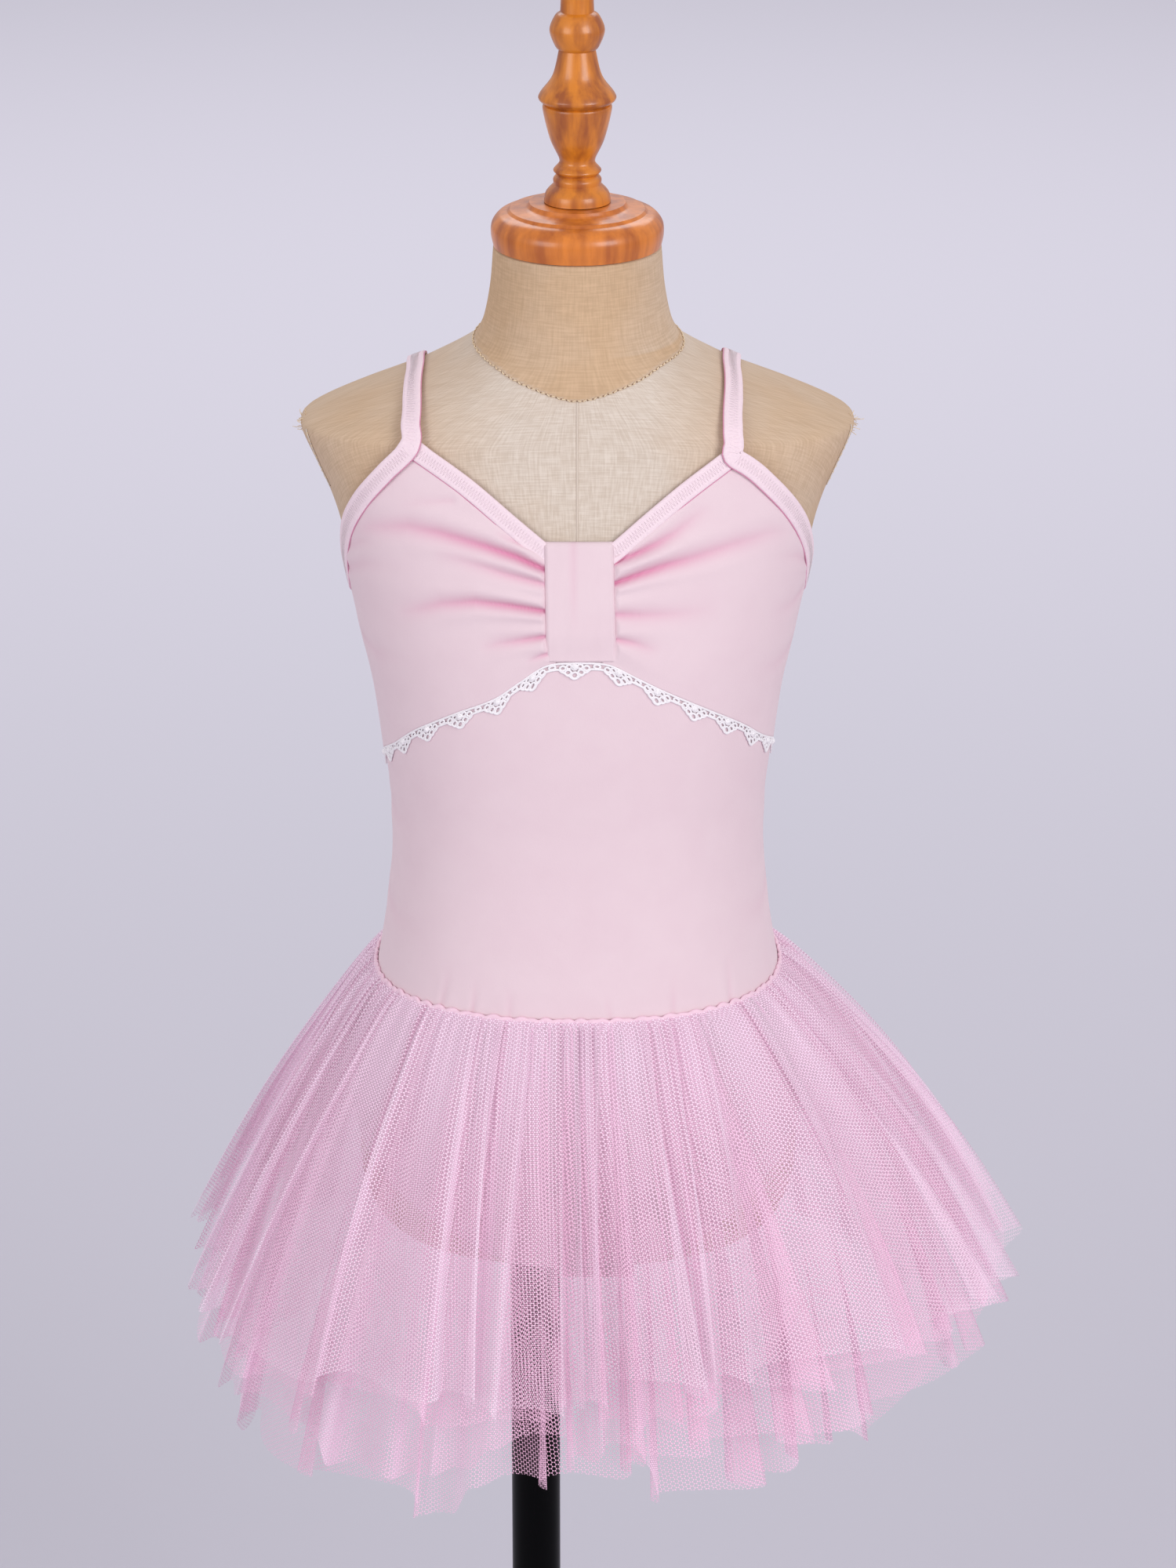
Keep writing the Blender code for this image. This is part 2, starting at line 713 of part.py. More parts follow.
def add_turned(name, profile, sides, finish, centre_x=0.0):
    """Solid turned about a vertical axis from a profile of TurnedPoints."""
    points = []
    for row in profile:
        for side in range(sides):
            turn = 2 * math.pi * side / sides
            across, along = row.radius * math.cos(turn), row.radius * math.sin(turn)
            points.append(Vector((centre_x + across, along, row.z)))
    faces = capped_tube_faces(len(profile), sides)
    add_node(name, points, faces, finish, smooth_angle=35.0)


def add_stand():
    base_profile = [
        TurnedPoint(BASE_RADIUS, 0),
        TurnedPoint(BASE_RADIUS, BASE_EDGE - BASE_BEVEL),
        TurnedPoint(BASE_RADIUS - BASE_BEVEL, BASE_EDGE),
        TurnedPoint(COLLAR_RADIUS, BASE_CROWN),
    ]
    add_turned("base", base_profile, 32, BLACK_METAL, POLE_X)
    collar_profile = [
        TurnedPoint(COLLAR_RADIUS, BASE_CROWN + SEAM_GAP),
        TurnedPoint(COLLAR_RADIUS - COLLAR_BEVEL / 3, COLLAR_TOP - COLLAR_BEVEL),
        TurnedPoint(COLLAR_RADIUS - COLLAR_BEVEL, COLLAR_TOP),
    ]
    add_turned("pole_collar", collar_profile, 28, BLACK_METAL, POLE_X)
    pole_bottom = COLLAR_TOP + SEAM_GAP
    pole_top = TORSO[0].z - SEAM_GAP
    pole_profile = [TurnedPoint(POLE_RADIUS, pole_bottom), TurnedPoint(POLE_RADIUS, pole_top)]
    add_turned("pole", pole_profile, 24, BLACK_METAL, POLE_X)
    add_turned("neck_cap", CAP_PROFILE, 28, CAP_WOOD)
    add_turned("finial", FINIAL_PROFILE, 18, FINIAL_WOOD)


def main():
    for leftover in list(bpy.data.objects):
        bpy.data.objects.remove(leftover, do_unlink=True)
    add_stand()
    add_torso()
    add_bust()
    add_band()
    add_midriff()
    add_back()
    add_brief()
    add_bindings()
    add_lace()
    add_tiers()


main()
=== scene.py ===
"""Looks of a child's ballet dress on its dress form: cloth shells, net, lace, finishes and the studio.

Lengths are in millimetres and turn into metres where the meshes are made. The floor is z = 0, the dress
faces -Y, and +X is to the viewer's right. Angles go round the body in degrees: 0 is the centre front,
90 is the right-hand side seam, 180 the centre back and -90 the left-hand side seam.
"""

import math
from collections import namedtuple

import bpy
import numpy as np
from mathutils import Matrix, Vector


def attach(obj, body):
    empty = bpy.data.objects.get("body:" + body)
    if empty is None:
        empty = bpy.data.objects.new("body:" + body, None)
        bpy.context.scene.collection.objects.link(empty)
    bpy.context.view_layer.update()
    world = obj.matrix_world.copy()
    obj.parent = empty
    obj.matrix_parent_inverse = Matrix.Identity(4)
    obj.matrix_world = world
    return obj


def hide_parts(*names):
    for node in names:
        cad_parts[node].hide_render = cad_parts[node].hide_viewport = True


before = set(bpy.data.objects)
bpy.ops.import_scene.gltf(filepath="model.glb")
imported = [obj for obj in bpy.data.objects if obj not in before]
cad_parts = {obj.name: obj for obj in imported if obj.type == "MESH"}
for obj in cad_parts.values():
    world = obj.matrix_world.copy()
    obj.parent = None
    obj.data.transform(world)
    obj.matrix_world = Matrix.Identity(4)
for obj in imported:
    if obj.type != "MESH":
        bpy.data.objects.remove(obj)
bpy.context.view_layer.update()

bl_info = {
    "name": "Ballet dress on a dress form",
    "version": (1, 0, 0),
    "blender": (4, 5, 0),
    "location": "3D View > Sidebar > Ballet dress",
    "description": "Dresses the packed frame of a ballet dress with cloth, net, lace and finishes",
    "category": "Object",
}

MM = 0.001
BODY = "root"


def table(row, *places):
    """Rows with named columns."""
    return [row(*place) for place in places]


# Places on the body, as in the frame's solids
SKIN_LIFT = 0.4
JERSEY_WALL = 1.2
TRIM_LIFT = 1.95
LACE_LIFT = 2.2
JOIN_LIFT = 3.6
SIDE_SEAM = 89.85
BAND_TOP = 868.9
SKIRT_SEAM_Z = 628.0
BRIEF_TOP_Z = 627.3
POLE_X = -22.0

# One row for each level of the torso: half width, depth to the front and to the back, and how square
# the outline is, where 2 is an ellipse
Section = namedtuple("Section", "z half_width front back square")
TORSO = table(
    Section,
    (480, 78, 50, 60, 2.2),
    (487, 93, 61, 73, 2.3),
    (500, 104, 70, 86, 2.3),
    (525, 110, 77, 95, 2.3),
    (560, 109, 80, 97, 2.3),
    (600, 103.5, 79.5, 92, 2.3),
    (636, 96.3, 77.5, 84, 2.3),
    (666, 91.8, 75.5, 78, 2.3),
    (695, 89.6, 74.5, 75, 2.3),
    (720, 90, 75, 75.5, 2.3),
    (740, 92.2, 76.5, 78, 2.3),
    (761, 94.6, 78, 80.5, 2.3),
    (781, 97.5, 78.5, 82.5, 2.3),
    (810, 103.7, 78, 84.5, 2.3),
    (826, 107, 76.5, 85, 2.3),
    (845, 111, 74, 84.5, 2.35),
    (862, 114.5, 70.5, 82, 2.4),
    (876, 119, 67, 79, 2.4),
    (890, 125.3, 63, 76, 2.4),
    (903, 131.2, 59, 72, 2.4),
    (908, 132.3, 57.5, 70.5, 2.4),
    (912, 127, 56.3, 69.3, 2.4),
    (919, 111, 54.3, 67, 2.35),
    (925, 95, 52.7, 64.5, 2.3),
    (929, 84.3, 51.7, 62.5, 2.25),
    (935, 71.5, 50, 60, 2.2),
    (941, 60.3, 48.5, 57.5, 2.1),
    (947, 51, 47, 54.5, 2.05),
    (953, 46.8, 45.5, 51, 2.0),
    (960, 44.2, 44, 47.5, 2.0),
    (975, 41.5, 41.5, 43, 2.0),
    (993, 40, 40, 40, 2.0),
)

# The panels' thickness, the brief's height over the skin, and the rows and columns of points of each
# panel. The creased ones are the finest. The brief takes every second column of the panel above it.
PANEL_WALL = 1.1
BRIEF_LIFT = 0.9
BUST_ROWS, BUST_COLUMNS = 130, 200
MIDRIFF_ROWS, MIDRIFF_COLUMNS = 120, 217
BACK_ROWS, BACK_COLUMNS = 110, 181
BRIEF_ROWS = 44
BAND_POINTS = 60
GUSSET_ROWS, GUSSET_COLUMNS = 60, 12

# The bust's puff: how high the panel stands, how high its gathers stand beside the band and how far out
# from it they reach, and the millimetres in a degree there
PUFF_LIFT = 0.9
GATHER_HEIGHT = 1.7
GATHER_REACH = 16.0
CHEST_DEGREE = 1.9

# The centre band: its height over the jersey's own, how far its sides roll and its ends turn down, and
# the depth of its long fold
BAND_LIFT = 4.0
BAND_SIDE_ROLL = 1.1
BAND_END_TURN = 1.5
BAND_FOLD = 0.3

# Seam lines round the body. The left and right columns are the heights at minus and plus the angle.
SeamPoint = namedtuple("SeamPoint", "angle left right")
EMPIRE_SEAM = table(
    SeamPoint,
    (0, 812.8, 812.8), (8, 811, 811.5), (15, 802.5, 805), (22, 793.5, 798), (34, 783.5, 787),
    (48, 771, 774.5), (64, 755.5, 760), (90, 739, 745),
)
BUST_TOP = table(
    SeamPoint,
    (6, 861, 862), (10, 867.5, 867), (16, 878, 876.5), (23.5, 892.5, 890.5), (32.5, 907.5, 905),
    (41, 896, 893), (52, 880.5, 877.5), (63, 864.5, 862), (73, 848.5, 847), (81, 834, 834),
    (90, 828, 828),
)
BACK_TOP = table(
    SeamPoint,
    (90, 828, 828), (100, 834, 834), (112, 853, 853), (126, 874, 874), (142, 893, 893), (150, 888, 888),
    (160, 868, 868), (170, 855, 855), (180, 851, 851),
)
LEG_FRONT = table(
    SeamPoint,
    (0, 488, 488), (18, 491, 491), (34, 509, 507), (58, 532, 536), (90, 556, 560),
)
LEG_BACK = table(
    SeamPoint,
    (90, 556, 560), (120, 527, 528), (150, 498, 498), (180, 488, 488),
)

NECK_SEAM = table(
    SeamPoint,
    (0, 931.5, 931.5), (3, 931.8, 931.8), (8, 933.3, 933.3), (20, 937.4, 937.4), (44, 943.8, 943.8),
    (75, 947.6, 946.6), (120, 950, 949.5), (180, 951, 951),
)

# The gusset under the form, front to back, and its sides
GussetPoint = namedtuple("GussetPoint", "y z")
GUSSET_ROUTE = table(
    GussetPoint,
    (-62.4, 487.2), (-57, 479.4), (-47, 475.5), (-20, 472.5), (20, 472), (56, 475.5), (67, 479.4),
    (74.35, 487.1),
)
GUSSET_LEFT = -8.5
GUSSET_RIGHT = 28.0

# Seams of the arm plates, from the shoulder's tip down the front, in degrees and heights
ARM_SEAMS = [
    [(-71.5, 908), (-70.5, 904), (-71.5, 897), (-72.5, 890), (-72.5, 880)],
    [(75.5, 909), (73.5, 904), (74, 897), (74.5, 890), (75, 880)],
    [(-108, 908), (-109, 900), (-108.5, 890)],
    [(108, 908), (109, 900), (108.5, 890)],
]

# Routes of the bindings along the body, with the height of each point above the form's skin
RoutePoint = namedtuple("RoutePoint", "angle z lift")
NECK_ROUTE_LEFT = table(
    RoutePoint,
    (-5.6, 860.4, TRIM_LIFT - 0.3), (-9.0, 866.0, TRIM_LIFT), (-15, 876.5, TRIM_LIFT),
    (-23.5, 893, TRIM_LIFT), (-32.6, 907.6, TRIM_LIFT),
)
NECK_ROUTE_RIGHT = table(
    RoutePoint,
    (6.8, 861.2, TRIM_LIFT - 0.3), (10.4, 866.9, TRIM_LIFT), (16, 877.2, TRIM_LIFT),
    (23, 890.5, TRIM_LIFT), (30.3, 903.4, TRIM_LIFT),
)
STRAP_ROUTE_LEFT = table(
    RoutePoint,
    (-34, 909, JOIN_LIFT), (-39.2, 917, JOIN_LIFT - 0.6), (-51, 925, 1.2), (-90, 932.4, SKIN_LIFT),
    (-129, 925, 0.8), (-140, 917, 1.3), (-146.5, 907, TRIM_LIFT), (-142, 893, TRIM_LIFT + 0.4),
    (-126, 873.5, TRIM_LIFT + 0.4), (-112, 852, TRIM_LIFT), (-101, 834, TRIM_LIFT),
    (-90, 827.5, TRIM_LIFT), (-81, 833, TRIM_LIFT), (-73, 848, TRIM_LIFT), (-63.5, 864.5, TRIM_LIFT),
    (-52, 881, TRIM_LIFT), (-41, 896.5, JOIN_LIFT - 0.6),
)
STRAP_ROUTE_RIGHT = table(
    RoutePoint,
    (31.3, 905.5, JOIN_LIFT), (31.9, 910, JOIN_LIFT - 0.2), (35.4, 916, JOIN_LIFT - 0.6),
    (46.9, 925, 1.2), (90, 934.3, SKIN_LIFT), (132, 925, 0.8), (142, 917, 1.3), (147.5, 907, TRIM_LIFT),
    (142, 893, TRIM_LIFT + 0.4), (126, 873.5, TRIM_LIFT + 0.4), (112, 852, TRIM_LIFT),
    (101, 834, TRIM_LIFT), (90, 827.5, TRIM_LIFT), (81, 833, TRIM_LIFT), (72, 847.5, TRIM_LIFT),
    (62.3, 862.5, TRIM_LIFT), (51.5, 878, TRIM_LIFT), (39.5, 894.5, JOIN_LIFT - 0.6),
    (35.2, 900.4, JOIN_LIFT - 0.2),
)
BACK_NECK_ROUTE = table(
    RoutePoint,
    (-143.8, 890.5, TRIM_LIFT), (-150.5, 884.5, TRIM_LIFT), (-160, 867, TRIM_LIFT),
    (-170, 854, TRIM_LIFT), (-180, 850, TRIM_LIFT), (-190, 854, TRIM_LIFT), (-200, 867, TRIM_LIFT),
    (-209.5, 884.5, TRIM_LIFT), (-216.2, 890.5, TRIM_LIFT),
)
NECK_BINDING_WIDTH = 8.6
STRAP_WIDTH = 9.2
BINDING_WALL = 1.3
# A binding's section: places from edge to edge, as shares of half its width, and shares of its wall
BINDING_SECTION = (
    (-1, 0.35), (-0.97, 0.8), (-0.85, 1.08), (-0.6, 1.04), (-0.3, 1.0), (0, 0.99),
    (0.3, 1.0), (0.6, 1.04), (0.85, 1.08), (0.97, 0.8), (1, 0.35),
)
# The zigzag of a binding's stitches: its pitch, and its swing as a share of the width
ZIGZAG_PITCH = 1.5
ZIGZAG_REACH = 0.24

# Creases as routes over the cloth. Each is a trough of that depth and half width with a soft ridge on
# both sides, and it widens and fades along its route.
Crease = namedtuple("Crease", "depth width widen ridge route")
CreasePoint = namedtuple("CreasePoint", "angle z")


def crease(depth, width, widen, ridge, *places):
    return Crease(depth, width, widen, ridge, [CreasePoint(*place) for place in places])


BUST_CREASES_LEFT = [
    crease(1.5, 0.9, 1.8, 0.5, (-7.4, 864.9), (-12.6, 867.9), (-15.6, 869.9), (-19, 873)),
    crease(3.1, 1.5, 3.2, 1.2, (-7.2, 855.8), (-14.2, 861.7), (-21.6, 866.2), (-31.1, 870.6), (-39.4, 872.2),
           (-51.5, 868.6), (-62.1, 861.2)),
    crease(1.5, 1.6, 2.4, 0.6, (-7.2, 849.6), (-16.2, 853.4), (-22.1, 856.8), (-28, 859.5), (-35, 861)),
    crease(2.7, 1.4, 2.8, 1.2, (-7.2, 836.9), (-16.5, 839), (-24.8, 839.9), (-33.6, 837.3), (-41.2, 832.5),
           (-49, 828)),
    crease(2.0, 1.3, 2.2, 0.8, (-7.4, 825.2), (-13.1, 823), (-19.3, 820.8), (-25, 817.5)),
    crease(1.5, 1.0, 1.7, 0.5, (-7.5, 816.8), (-10.1, 815), (-13, 812.5)),
    crease(0.6, 2.0, 1.6, 0.3, (-70, 852), (-57.4, 860), (-48, 862.5)),
    crease(0.55, 2.4, 1.7, 0.3, (-72, 841), (-58, 849), (-43, 853)),
    crease(0.4, 1.6, 1.5, 0.2, (-27, 886), (-35, 884), (-43, 879)),
    crease(0.4, 3.0, 1.5, 0.2, (-76, 806), (-62, 803), (-48, 807)),
]
BUST_CREASES_RIGHT = [
    crease(2.6, 1.3, 2.8, 1.1, (8.7, 859.3), (14.5, 863.9), (18.3, 867.5), (21.9, 871.9), (25.5, 878),
           (29, 884)),
    crease(2.9, 1.4, 3.2, 1.2, (8.7, 849.8), (14.8, 853.8), (20.7, 857.3), (25.8, 859.5), (36.9, 864.7),
           (46.2, 867.4), (56, 866)),
    crease(1.5, 2.0, 2.4, 0.6, (8.9, 835.6), (15.2, 834.8), (25, 834.2), (36, 835)),
    crease(1.7, 1.3, 2.2, 0.6, (9.4, 823.8), (14.8, 821.2), (21, 816)),
    crease(0.9, 1.2, 1.6, 0.3, (8.6, 864.6), (12, 866.8), (15, 869.8)),
    crease(0.6, 2.0, 1.6, 0.3, (70, 846), (60, 852), (50, 855)),
    crease(0.5, 2.6, 1.6, 0.2, (74, 829), (63, 826), (52, 827.5)),
    crease(0.4, 3.0, 1.6, 0.2, (76, 800), (62, 797), (49, 801)),
]
MIDRIFF_CREASES = [
    crease(0.4, 1.2, 1.6, 0.2, (-40, 629), (-39.2, 640), (-38.6, 652)),
    crease(0.5, 1.0, 1.7, 0.2, (-30, 629), (-29.8, 638), (-29.6, 647)),
    crease(0.35, 1.2, 1.6, 0.2, (-19, 629), (-19.4, 637), (-19.8, 645)),
    crease(0.35, 1.1, 1.6, 0.2, (9, 629), (8.6, 636), (8.4, 642)),
    crease(0.45, 1.1, 1.6, 0.2, (27, 629), (27.5, 638), (28.2, 649)),
    crease(0.4, 1.3, 1.6, 0.2, (46, 629), (46.5, 640), (47.4, 654)),
    crease(0.35, 3.2, 1.8, 0.3, (-84, 668), (-66, 662), (-48, 664)),
    crease(0.35, 3.6, 1.8, 0.3, (84, 672), (68, 667), (52, 669)),
    crease(0.3, 3.4, 1.8, 0.3, (-84, 716), (-69, 713), (-55, 716)),
]
BACK_CREASES = [
    crease(0.7, 2.2, 2.2, 0.4, (100, 826), (114, 838), (128, 843), (143, 840)),
    crease(0.7, 2.2, 2.2, 0.4, (-101, 824), (-116, 835), (-131, 839), (-147, 836)),
    crease(0.5, 2.4, 2.0, 0.3, (98, 806), (113, 812), (130, 814)),
    crease(0.55, 2.6, 2.0, 0.3, (-99, 802), (-117, 809), (-133, 807)),
    crease(0.6, 3.4, 2.0, 0.4, (96, 712), (120, 705), (148, 708), (172, 705)),
    crease(0.6, 3.2, 2.0, 0.4, (-97, 705), (-123, 699), (-150, 702), (-168, 700)),
    crease(0.5, 3.4, 2.0, 0.3, (98, 684), (126, 679), (156, 681)),
    crease(0.5, 3.6, 2.0, 0.3, (-98, 731), (-120, 727), (-141, 730)),
    crease(0.4, 1.2, 1.6, 0.2, (118, 629), (118.6, 640), (119.2, 652)),
    crease(0.45, 1.1, 1.6, 0.2, (141, 629), (141.4, 637), (142, 646)),
    crease(0.4, 1.2, 1.6, 0.2, (163, 629), (163, 639), (162.6, 649)),
    crease(0.4, 1.2, 1.6, 0.2, (-160, 629), (-160.4, 638), (-161, 648)),
    crease(0.45, 1.1, 1.6, 0.2, (-137, 629), (-137, 640), (-136.4, 653)),
    crease(0.4, 1.2, 1.6, 0.2, (-115, 629), (-115.6, 637), (-116, 645)),
]

# Lace: its points and yarn, how far its band hangs below the seam and its points below the band, half
# the width of a point, and the radius and height of the two rings of each point's boss
LACE_POINTS = 15
LACE_YARN = 0.58
LACE_BAND_DROP = 3.4
LACE_POINT_DROP = 4.9
LACE_HALF_POINT = 7.4
LACE_BOSSES = ((1.35, 0.35), (0.55, 0.75))
# Holes of one tooth: distance from its middle, drop below the seam, and half sizes of the ring of yarn
LaceHole = namedtuple("LaceHole", "away drop across down")
LACE_HOLES = table(
    LaceHole,
    (0, 6.5, 1.6, 1.5),
    (3.1, 5.0, 1.45, 1.25),
    (2.6, 2.2, 1.2, 1.05),
    (5.6, 2.9, 1.35, 1.1),
)

# The hem of each tulle tier round the body: how far it stands out from the skirt seam, and its height
HemPoint = namedtuple("HemPoint", "angle reach z")
OUTER_HEM = table(
    HemPoint,
    (-180, 106, 474), (-130, 102, 468), (-90, 87, 458), (-64, 95, 464), (-30, 102, 474), (0, 104, 480),
    (45, 108, 488), (70, 112, 477), (92, 114, 472), (135, 109, 474), (180, 106, 474),
)
MIDDLE_HEM = table(
    HemPoint,
    (-180, 94, 442), (-120, 88, 424), (-90, 76, 412), (-66, 82, 415), (-40, 88, 426), (0, 94, 444),
    (38, 96, 441), (64, 98, 428), (90, 100, 440), (130, 97, 444), (180, 94, 442),
)
INNER_HEM = table(
    HemPoint,
    (-180, 76, 415), (-120, 72, 395), (-90, 68, 384), (-66, 74, 384), (-43, 76, 398), (-28, 78, 406),
    (0, 80, 420), (33, 80, 414), (60, 80, 410), (90, 86, 418), (130, 80, 418), (180, 76, 415),
)
SECOND_HEM = table(
    HemPoint,
    (-180, 102, 462), (-130, 97, 455), (-90, 83, 441), (-64, 90, 446), (-30, 97, 462), (0, 101, 472),
    (45, 105, 474), (70, 108, 460), (92, 109, 456), (135, 105, 462), (180, 102, 462),
)

# How far the skirt's sides bulge between the seam and the hem, and how much more they do at the right
SKIRT_BOW = 6.0
RIGHT_BOW = 5.0

# One layer of net: the tier it dresses, its height over the skin at the seam and a little below it, its
# main folds round the body, how deep they are at the hem, how far a fold laps over its neighbour, how
# uneven its cut edge is, and the flat length of net gathered into it
NetLayer = namedtuple("NetLayer", "name nodes top lift folds depth lap hem_step hem flat_length seed")
NET_LAYERS = table(
    NetLayer,
    ("net_outer", ["skirt_tier_outer"], 2.9, 6.0, 37, 7.6, 0.36, 5.0, OUTER_HEM, 1500, 3),
    ("net_second", [], 2.6, 5.2, 29, 6.2, 0.33, 8.0, SECOND_HEM, 1450, 14),
    ("net_middle", ["skirt_tier_middle"], 2.3, 4.4, 31, 6.8, 0.35, 10.0, MIDDLE_HEM, 1400, 8),
    ("net_inner", ["skirt_tier_inner"], 2.0, 3.0, 27, 6.4, 0.33, 12.0, INNER_HEM, 1300, 21),
)
NET_POINTS_PER_FOLD = 30
NET_ROWS = 34
NET_TOP_Z = 628.6
SEAM_ROLL_RADIUS = 1.6

# The least and the most of each measure of a fold, as shares of the layer's own, and how much wider and
# flatter the folds are at the sides
FOLD_WIDTHS = (0.4, 2.1)
FOLD_DEPTHS = (0.45, 1.3)
FOLD_LAPS = (0.15, 1.25)
FOLD_DELAYS = (0.0, 0.8)
SMALL_FOLDS = (0.3, 1.0)
SIDE_WIDER = 0.9
SIDE_FLATTER = 0.35

# How far the folds sway round the body at the hem: degrees, waves round the body, and the phase as a
# multiple of the layer's seed
Wave = namedtuple("Wave", "size times phase")
NET_SWAYS = table(Wave, (2.4, 3, 1), (2.0, 8, 2), (1.5, 17, 3))
# Heights of the waves over the main folds: the hem's billows, the small folds, and two sizes of gathers
# that die out over a share of the drop. The last is how far the hem's edge itself waves up and down.
NET_BILLOW = 3.0
NET_SMALL_FOLD = 1.9
NET_GATHERS = (0.7, 0.3)
GATHERS_FADE = 0.25
HEM_WAVE = 1.5

# The net's threads: the width of a cell, the share of the net that they cover, the level of the waves
# where the holes begin, and the most that folds close them
NET_CELL = 2.1
NET_COVER = 0.24
NET_HOLE = -1.01
MOST_GATHER = 0.45

# The form's linen: its height over the skin, the radius that its neck's cloth is cut to, the heights of
# the front seam, how far the seams' welts lie over the skin, and the loose threads of each shoulder
LINEN_LIFT = -0.4
NECK_RADIUS = 43.0
FRONT_SEAM_Z = (931.2, 858.0)
FRONT_WELT_LIFT = -0.29
ARM_WELT_LIFT = -0.1
FRAYED_THREADS = 16

# Turned wooden parts, from the bottom up. An edge of 1 keeps a crisp line at that point.
TurnedPoint = namedtuple("TurnedPoint", "radius z edge")
CAP_PROFILE = table(
    TurnedPoint,
    (39.6, 993.4, 1), (40.7, 999, 0), (40.2, 1004, 0), (37, 1008, 0), (33, 1009.2, 1), (31.8, 1010.5, 1),
    (25, 1011.2, 0), (23.3, 1012.2, 1), (22.6, 1013.6, 1),
)
FINIAL_PROFILE = table(
    TurnedPoint,
    (15.7, 1014, 1), (14.8, 1018.5, 0), (11.2, 1022.5, 1), (11.3, 1025, 0), (9.6, 1027, 1),
    (11.3, 1029, 0), (9.3, 1031.5, 1), (8.5, 1034.5, 0), (12.8, 1044, 0), (16.2, 1058, 0),
    (15.2, 1060.5, 1), (18.1, 1063, 0), (17.2, 1066, 0), (11.5, 1074, 0), (8.6, 1086, 1),
    (10.5, 1088.2, 0), (12.9, 1095.3, 0), (10.5, 1101.8, 0), (7.9, 1104, 1), (7.9, 1112, 0),
    (10.6, 1117, 0), (11.2, 1122, 0), (8.2, 1128.5, 0), (3.0, 1131.2, 0),
)
BASE_PROFILE = table(
    TurnedPoint,
    (150, 0, 1), (150, 6.5, 0), (147.5, 9, 0), (26, 11, 1),
)
COLLAR_PROFILE = table(
    TurnedPoint,
    (26, 11.35, 1), (25, 31, 1), (23, 34, 1),
)
POLE_PROFILE = table(
    TurnedPoint,
    (12.5, 34.35, 1), (12.5, 479.65, 1),
)

# The camera, placed and aimed as the photo's
CAMERA_X = 5.0
CAMERA_PITCH = 21.5
CAMERA_RANGE = 2400.0
CAMERA_AIM_Z = 720.0
CAMERA_LENS = 112.21


def linear(hex_colour):
    """Linear red, green and blue of an sRGB hex colour."""
    shares = [int(hex_colour[i : i + 2], 16) / 255 for i in (0, 2, 4)]
    return [share / 12.92 if share <= 0.04045 else ((share + 0.055) / 1.055) ** 2.4 for share in shares]


# Reading the tables

def smooth_read(rows, position, column):
    """Value of one column at a position, on a smooth curve through the table's rows."""
    position = min(max(position, rows[0][0]), rows[-1][0])
    i = 0
    while i < len(rows) - 2 and rows[i + 1][0] < position:
        i += 1
    before, start, end, after = rows[max(i - 1, 0)], rows[i], rows[i + 1], rows[min(i + 2, len(rows) - 1)]
    span = end[0] - start[0]
    t = (position - start[0]) / span
    low, high = getattr(start, column), getattr(end, column)
    slope_in = (high - getattr(before, column)) / (end[0] - before[0]) * span
    slope_out = (getattr(after, column) - low) / (after[0] - start[0]) * span
    if (high - low) * slope_in < 0 or (low - getattr(before, column)) * (high - low) < 0:
        slope_in = 0.0
    if (high - low) * slope_out < 0 or (getattr(after, column) - high) * (high - low) < 0:
        slope_out = 0.0
    return (
        (2 * t**3 - 3 * t**2 + 1) * low
        + (t**3 - 2 * t**2 + t) * slope_in
        + (3 * t**2 - 2 * t**3) * high
        + (t**3 - t**2) * slope_out
    )


def smooth_curve(rows, column, samples=1500):
    """Function that reads one column at many positions at once."""
    places = np.linspace(rows[0][0], rows[-1][0], samples)
    values = [smooth_read(rows, place, column) for place in places]
    return lambda positions: np.interp(positions, places, values)


def seam_curve(rows):
    """Function that gives a seam line's height at angles from -180 to 180."""
    left, right = smooth_curve(rows, "left"), smooth_curve(rows, "right")

    def height(angle):
        return np.where(angle < 0, left(np.abs(angle)), right(np.abs(angle)))

    return height


SECTION = {column: smooth_curve(TORSO, column) for column in Section._fields[1:]}
EMPIRE = seam_curve(EMPIRE_SEAM)
BUST_EDGE = seam_curve(BUST_TOP)
BACK_EDGE = seam_curve(BACK_TOP)
NECK_SEAM_LINE = seam_curve(NECK_SEAM)
LEG_FRONT_EDGE = seam_curve(LEG_FRONT)
LEG_BACK_EDGE = seam_curve(LEG_BACK)


def wrap(angle):
    """The same direction as an angle from -180 to 180."""
    return (np.asarray(angle) + 180) % 360 - 180


# The torso's surface. Points are arrays whose last axis is x, y, z.

def torso_point(angle, z):
    """Points of the form's skin."""
    angle, z = np.broadcast_arrays(np.asarray(angle, float), np.asarray(z, float))
    across, along = np.sin(np.radians(angle)), np.cos(np.radians(angle))
    depth = np.where(along >= 0, SECTION["front"](z), SECTION["back"](z))
    square = SECTION["square"](z)
    reach = (np.abs(across) ** square + np.abs(along) ** square) ** (-1 / square)
    return np.stack([SECTION["half_width"](z) * reach * across, -depth * reach * along, z], -1)


def torso_level(points):
    """0 on the skin, more outside it."""
    x, y, z = points[..., 0], points[..., 1], points[..., 2]
    depth = np.where(y < 0, SECTION["front"](z), SECTION["back"](z))
    square = SECTION["square"](z)
    return np.abs(x / SECTION["half_width"](z)) ** square + np.abs(y / depth) ** square - 1


def skin_slope(points, step=0.5):
    """How fast torso_level grows along X, Y and Z; it points away from the skin."""
    slopes = [
        (torso_level(points + axis * step) - torso_level(points - axis * step)) / (2 * step)
        for axis in np.eye(3)
    ]
    return np.stack(slopes, -1)


def unit(vectors):
    """Vectors of the same directions, each of length 1."""
    return vectors / np.linalg.norm(vectors, axis=-1, keepdims=True)


